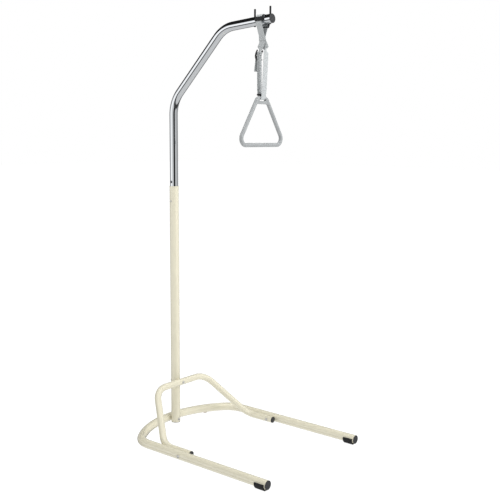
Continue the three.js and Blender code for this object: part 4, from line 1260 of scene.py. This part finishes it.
class LIFTPOLE_OT_buckles(bpy.types.Operator):
    """Moulds the two slides, the adjuster and the keeper"""
    bl_idname = "liftpole.buckles"
    bl_label = "Slides, adjuster and keeper"

    def execute(self, context):
        near, far = ARM_AT_STRAP + NEAR_SLIDE_RISE, ARM_AT_STRAP - FAR_SLIDE_DROP
        near_x = WIDEST_X - (near - WIDEST) * math.tan(TOP_LEAN)
        far_x = BRANCH_OFFSET + (far - BRANCH_TOP) * math.tan(BRANCH_LEAN)
        for name, *place in (("near", -1, near_x, near, -TOP_LEAN), ("far", 1, far_x, far, BRANCH_LEAN)):
            made = moulded_bars(name + "_covered_slide", slide_parts(*place), [], rounding=0.8, fillet=0.9,
                                pitch=0.55)
            fitted(made, "buckles", "strap_upper", name + "_slide")

        y, reach = HANG_Y + ADJUSTER_Y, ADJUSTER_INNER + 1
        bars = ((ADJUSTER_TOP, ADJUSTER_BAR), (ADJUSTER_LOCK, ADJUSTER_BAR),
                (ADJUSTER_LOCK - LIP_DROP, ADJUSTER_LIP))
        rods = [((-reach, y, z), (reach, y, z), radius) for z, radius in bars]
        # The two sides follow a curve from its foot to its crown, given as reach behind the strap and height
        foot, bulge, crown = Vector((-2, -LIP_DROP)), Vector((9, 3)), Vector((-6.5, 24))
        slabs = []
        count = 16
        for x in (-ADJUSTER_INNER - ADJUSTER_RAIL / 2, ADJUSTER_INNER + ADJUSTER_RAIL / 2):
            for i in range(count + 1):
                t = i / count
                place = foot * (1 - t) ** 2 + bulge * 2 * t * (1 - t) + crown * t * t
                way = (bulge - foot) * (1 - t) + (crown - bulge) * t
                turn = Matrix.Rotation(-math.atan2(way.x, way.y), 3, "X")
                centre = (x, y + place.x, ADJUSTER_LOCK + place.y)
                slabs.append((centre, (ADJUSTER_RAIL / 2, *ADJUSTER_SIDE), turn))
        made = moulded_bars("strap_adjuster", slabs, rods, rounding=1.2, fillet=0.8, pitch=0.55)
        fitted(made, "buckles", "strap_lower", "adjuster_buckle")

        lean = -tangent_lean(FOOT_BACK_SPREAD, FOOT_RISE, WRAP_RADIUS)
        y = HANG_Y + FOOT_BACK_SPREAD - (FOOT_RISE - KEEPER_RISE) * math.tan(lean)
        turn = Matrix.Rotation(-lean, 3, "X")
        middle = Vector((0, y, TOP_BAR + KEEPER_RISE))
        wide, deep, high = KEEPER_HALF
        slabs = []
        for side in (-1, 1):
            slabs.append((middle + turn @ Vector((side * (wide + KEEPER_WALL), 0, 0)),
                          (KEEPER_WALL, deep + 2 * KEEPER_WALL, high), turn))
            slabs.append((middle + turn @ Vector((0, side * (deep + KEEPER_WALL), 0)),
                          (wide + 2 * KEEPER_WALL, KEEPER_WALL, high), turn))
        made = moulded_bars("strap_keeper_ring", slabs, [], rounding=0.7, fillet=0.4, pitch=0.5)
        fitted(made, "buckles", "strap_lower", "strap_keeper")
        return {"FINISHED"}


class LIFTPOLE_OT_handle(bpy.types.Operator):
    """Moulds the triangular grab handle with its strap bar and web"""
    bl_idname = "liftpole.handle"
    bl_label = "Grab handle"

    def execute(self, context):
        shoulder = TOP_BAR - SHOULDER_DROP
        half = [(SLOT_X, HANG_Y, shoulder), (SHOULDER_X, HANG_Y, shoulder),
                (GRIP_X, HANG_Y, TOP_BAR - GRIP_DROP)]
        corners = [(-x, y, z) for x, y, z in half] + half[::-1]
        radii = (SLOT_BEND, GRIP_BEND, GRIP_BEND, SLOT_BEND)
        line = [p for p, _ in bent(corners, radii, step=math.radians(6))]
        grips = [(a, b, GRIP_RADIUS) for a, b in zip(line, line[1:]) if (b - a).length > 0.01]
        bar = ((-BAR_X, HANG_Y, TOP_BAR), (BAR_X, HANG_Y, TOP_BAR), BAR_RADIUS)
        web = ((0, HANG_Y, TOP_BAR - WEB_DROP), WEB_HALF)
        seeds = [rod_seed(*rod, 24) for rod in (*grips, bar)] + [slab_seed(*web)]
        ball = [(0, -GRIP_RADIUS), (GRIP_RADIUS * 0.7, -GRIP_RADIUS * 0.7), (GRIP_RADIUS, 0),
                (GRIP_RADIUS * 0.7, GRIP_RADIUS * 0.7), (0, GRIP_RADIUS)]
        seeds += [turned(ball, p, UP, 16) for p in line[2:-2]]
        far_off = 50

        def distance(p):
            grip = np.min([rod_distance(p, *rod) for rod in grips], axis=0)
            slot = np.where(p[:, 2] > TOP_BAR - SLOT_DROP, SLOT_X - np.abs(p[:, 0]), -far_off)
            grip = -blended(-grip, -slot, SLOT_FILLET)
            plate = slab_distance(p, *web, WEB_ROUND)
            return blended(blended(grip, plate, WEB_FILLET), rod_distance(p, *bar), BAR_FILLET)

        made = moulded("triangular_grab_handle", seeds, distance, pitch=1.15)
        fitted(made, "handle", "handle", "grab_handle")
        return {"FINISHED"}


# The photograph's viewpoint and direction, in metres
CAMERA_PLACE = Vector((-2.7051, -2.2967, 1.3647))
CAMERA_AIM = Vector((0.76634, 0.62766, -0.13693))
CAMERA_ROLL = math.radians(0.3)

# What the chrome mirrors, as sRGB greys: at degrees from the camera's side (the right is positive), and at
# heights of the mirrored direction below the walls
WALL_GREYS = ((-180, 135), (-100, 135), (-88, 255), (-52, 250), (-42, 205), (-12, 200), (2, 10), (34, 10),
              (44, 190), (84, 190), (100, 150), (180, 145))
LEVEL_GREYS = ((-1, 200), (-0.62, 196), (-0.54, 60), (-0.3, 60))
MIRRORED_GLOW = 1.2

# Where the walls start above the floor's dark edge, and where the dark side behind the arm starts
WALL_FOOT = (-0.36, -0.28)
DARK_SIDE, DARK_FOOT = (0.35, 0.5), (0.22, 0.3)


def plain_material(name, colour, glow):
    """A matt material with a white glow of its own."""
    made, _, shader, _ = new_material(name)
    for key, value in (("Base Color", [*linear(colour), 1]), ("Roughness", 0.9), ("Specular IOR Level", 0.1),
                       ("Emission Color", WHITE), ("Emission Strength", glow)):
        shader.inputs[key].default_value = value
    return made


def mirrored_studio(tree):
    """The studio that the chrome mirrors: walls by the angle from the camera, a dark side behind the arm, a
    dark line along the floor's far edge, and the floor."""
    where = add_node(tree, "ShaderNodeTexCoord").outputs["Generated"]
    toward = math.atan2(-CAMERA_AIM.y, -CAMERA_AIM.x)
    turned_way = add_node(tree, "ShaderNodeMapping", {"Vector": where, "Rotation": (0, 0, -toward)})
    x, y, _ = add_node(tree, "ShaderNodeSeparateXYZ", {"Vector": turned_way.outputs[0]}).outputs
    _, depth, height = add_node(tree, "ShaderNodeSeparateXYZ", {"Vector": where}).outputs
    angle = add_node(tree, "ShaderNodeMath", {0: y, 1: x}, operation="ARCTAN2").outputs[0]
    ramps = []
    walls = [(math.radians(degrees), grey) for degrees, grey in WALL_GREYS]
    for source, reach, stops in ((height, 1, LEVEL_GREYS), (angle, math.pi, walls)):
        share = add_node(tree, "ShaderNodeMapRange", {"Value": source, "From Min": -reach, "From Max": reach})
        ramp = add_node(tree, "ShaderNodeValToRGB", {"Fac": share.outputs[0]})
        items = ramp.color_ramp.elements
        while len(items) < len(stops):
            items.new(0.5)
        for item, (place, grey) in zip(items, stops):
            item.position = 0.5 + place / (2 * reach)
            item.color = [*linear("#" + f"{grey:02X}" * 3), 1]
        ramps.append(ramp.outputs[0])
    above, behind, low = (
        add_node(tree, "ShaderNodeMapRange", {"Value": source, "From Min": start, "From Max": end}).outputs[0]
        for source, (start, end) in ((height, WALL_FOOT), (depth, DARK_SIDE), (height, DARK_FOOT)))
    seen = add_node(tree, "ShaderNodeMix", {"Factor": above, 6: ramps[0], 7: ramps[1]}, data_type="RGBA")
    dark = add_node(tree, "ShaderNodeMath", {0: behind, 1: low}, operation="MULTIPLY")
    nearly_black = (0.01, 0.01, 0.01, 1)
    side = add_node(tree, "ShaderNodeMix", {"Factor": dark.outputs[0], 6: seen.outputs[2], 7: nearly_black},
                    data_type="RGBA")
    return side.outputs[2]


class LIFTPOLE_OT_stage(bpy.types.Operator):
    """Sets the camera, floor, surround and lights"""
    bl_idname = "liftpole.stage"
    bl_label = "Studio and camera"

    def execute(self, context):
        scene, settings = context.scene, context.scene.pole_stage
        scene.view_settings.view_transform = "Standard"
        aim = CAMERA_AIM.normalized()
        right = aim.cross(UP).normalized()
        up = right.cross(aim)
        right, up = (right * math.cos(CAMERA_ROLL) + up * math.sin(CAMERA_ROLL),
                     up * math.cos(CAMERA_ROLL) - right * math.sin(CAMERA_ROLL))
        data = bpy.data.cameras.new("photo_camera")
        data.lens, data.sensor_width, data.clip_end = settings.lens, 36, 60
        camera = bpy.data.objects.new("photo_camera", data)
        axes = Matrix((right, up, -aim)).transposed().to_4x4()
        camera.matrix_world = Matrix.Translation(CAMERA_PLACE) @ axes
        scene.collection.objects.link(camera)
        scene.camera = camera

        half, level = 30, -0.0005
        corners = [(x * half, y * half, level) for x, y in ((-1, -1), (1, -1), (1, 1), (-1, 1))]
        floor = new_object("studio_floor", corners, [(0, 1, 2, 3)])
        floor.data.materials.append(plain_material("white_studio_floor", "#636363", settings.floor))
        floor.visible_glossy = False

        world = bpy.data.worlds.new("white_studio")
        scene.world = world
        world.use_nodes = True
        tree = world.node_tree
        tree.nodes.clear()
        shown, lit, mirrored = (
            add_node(tree, "ShaderNodeBackground", {"Color": colour, "Strength": glow}).outputs[0]
            for colour, glow in ((WHITE, 1), (WHITE, settings.sky), (mirrored_studio(tree), MIRRORED_GLOW)))
        path = add_node(tree, "ShaderNodeLightPath")
        around = add_node(tree, "ShaderNodeMixShader",
                          {0: path.outputs["Is Glossy Ray"], 1: lit, 2: mirrored})
        mix = add_node(tree, "ShaderNodeMixShader",
                       {0: path.outputs["Is Camera Ray"], 1: around.outputs[0], 2: shown})
        add_node(tree, "ShaderNodeOutputWorld", {"Surface": mix.outputs[0]})

        middle = Vector((0, 0, 1.0))
        for name, place, size, power in (
                ("key_light", middle + right * 3.0 - aim * 1.2 + UP * 1.2, 2.4, settings.key),
                ("top_light", middle + UP * 3.2, 3.0, settings.top),
                ("fill_light", middle - right * 2.6 - aim * 2.2 + UP * 1.6, 2.0, settings.fill)):
            lamp = bpy.data.lights.new(name, "AREA")
            lamp.energy, lamp.size = power, size
            made = bpy.data.objects.new(name, lamp)
            made.location = place
            made.rotation_mode = "QUATERNION"
            made.rotation_quaternion = (place - middle).to_track_quat("Z", "Y")
            made.visible_glossy = False
            scene.collection.objects.link(made)
        return {"FINISHED"}


class LIFTPOLE_PT_panel(bpy.types.Panel):
    """Lists the pole's sizes, finishes and building steps"""
    bl_idname = "LIFTPOLE_PT_panel"
    bl_label = "Lifting pole"
    bl_space_type = "VIEW_3D"
    bl_region_type = "UI"
    bl_category = "Lifting pole"

    def draw(self, context):
        for step in STEPS:
            self.layout.operator(step.bl_idname)
        for group in SETTINGS:
            box = self.layout.box()
            values = getattr(context.scene, group)
            for key in values.__annotations__:
                box.prop(values, key)


STEPS = (LIFTPOLE_OT_stage, LIFTPOLE_OT_floor_frame, LIFTPOLE_OT_upright, LIFTPOLE_OT_caps, LIFTPOLE_OT_feet,
         LIFTPOLE_OT_fasteners, LIFTPOLE_OT_mast, LIFTPOLE_OT_webbing, LIFTPOLE_OT_stitching,
         LIFTPOLE_OT_buckles, LIFTPOLE_OT_handle)
SETTINGS = {"pole_tubes": TubeSizes, "pole_strap": StrapSizes, "pole_finishes": Finishes,
            "pole_stage": StageSettings}


def register():
    for kind in (*SETTINGS.values(), *STEPS, LIFTPOLE_PT_panel):
        bpy.utils.register_class(kind)
    for key, kind in SETTINGS.items():
        setattr(bpy.types.Scene, key, PointerProperty(type=kind))


def unregister():
    for key in SETTINGS:
        delattr(bpy.types.Scene, key)
    for kind in (LIFTPOLE_PT_panel, *STEPS[::-1], *SETTINGS.values()):
        bpy.utils.unregister_class(kind)


def main():
    register()
    for step in STEPS:
        group, name = step.bl_idname.split(".")
        getattr(getattr(bpy.ops, group), name)()


if __name__ == "__main__":
    main()
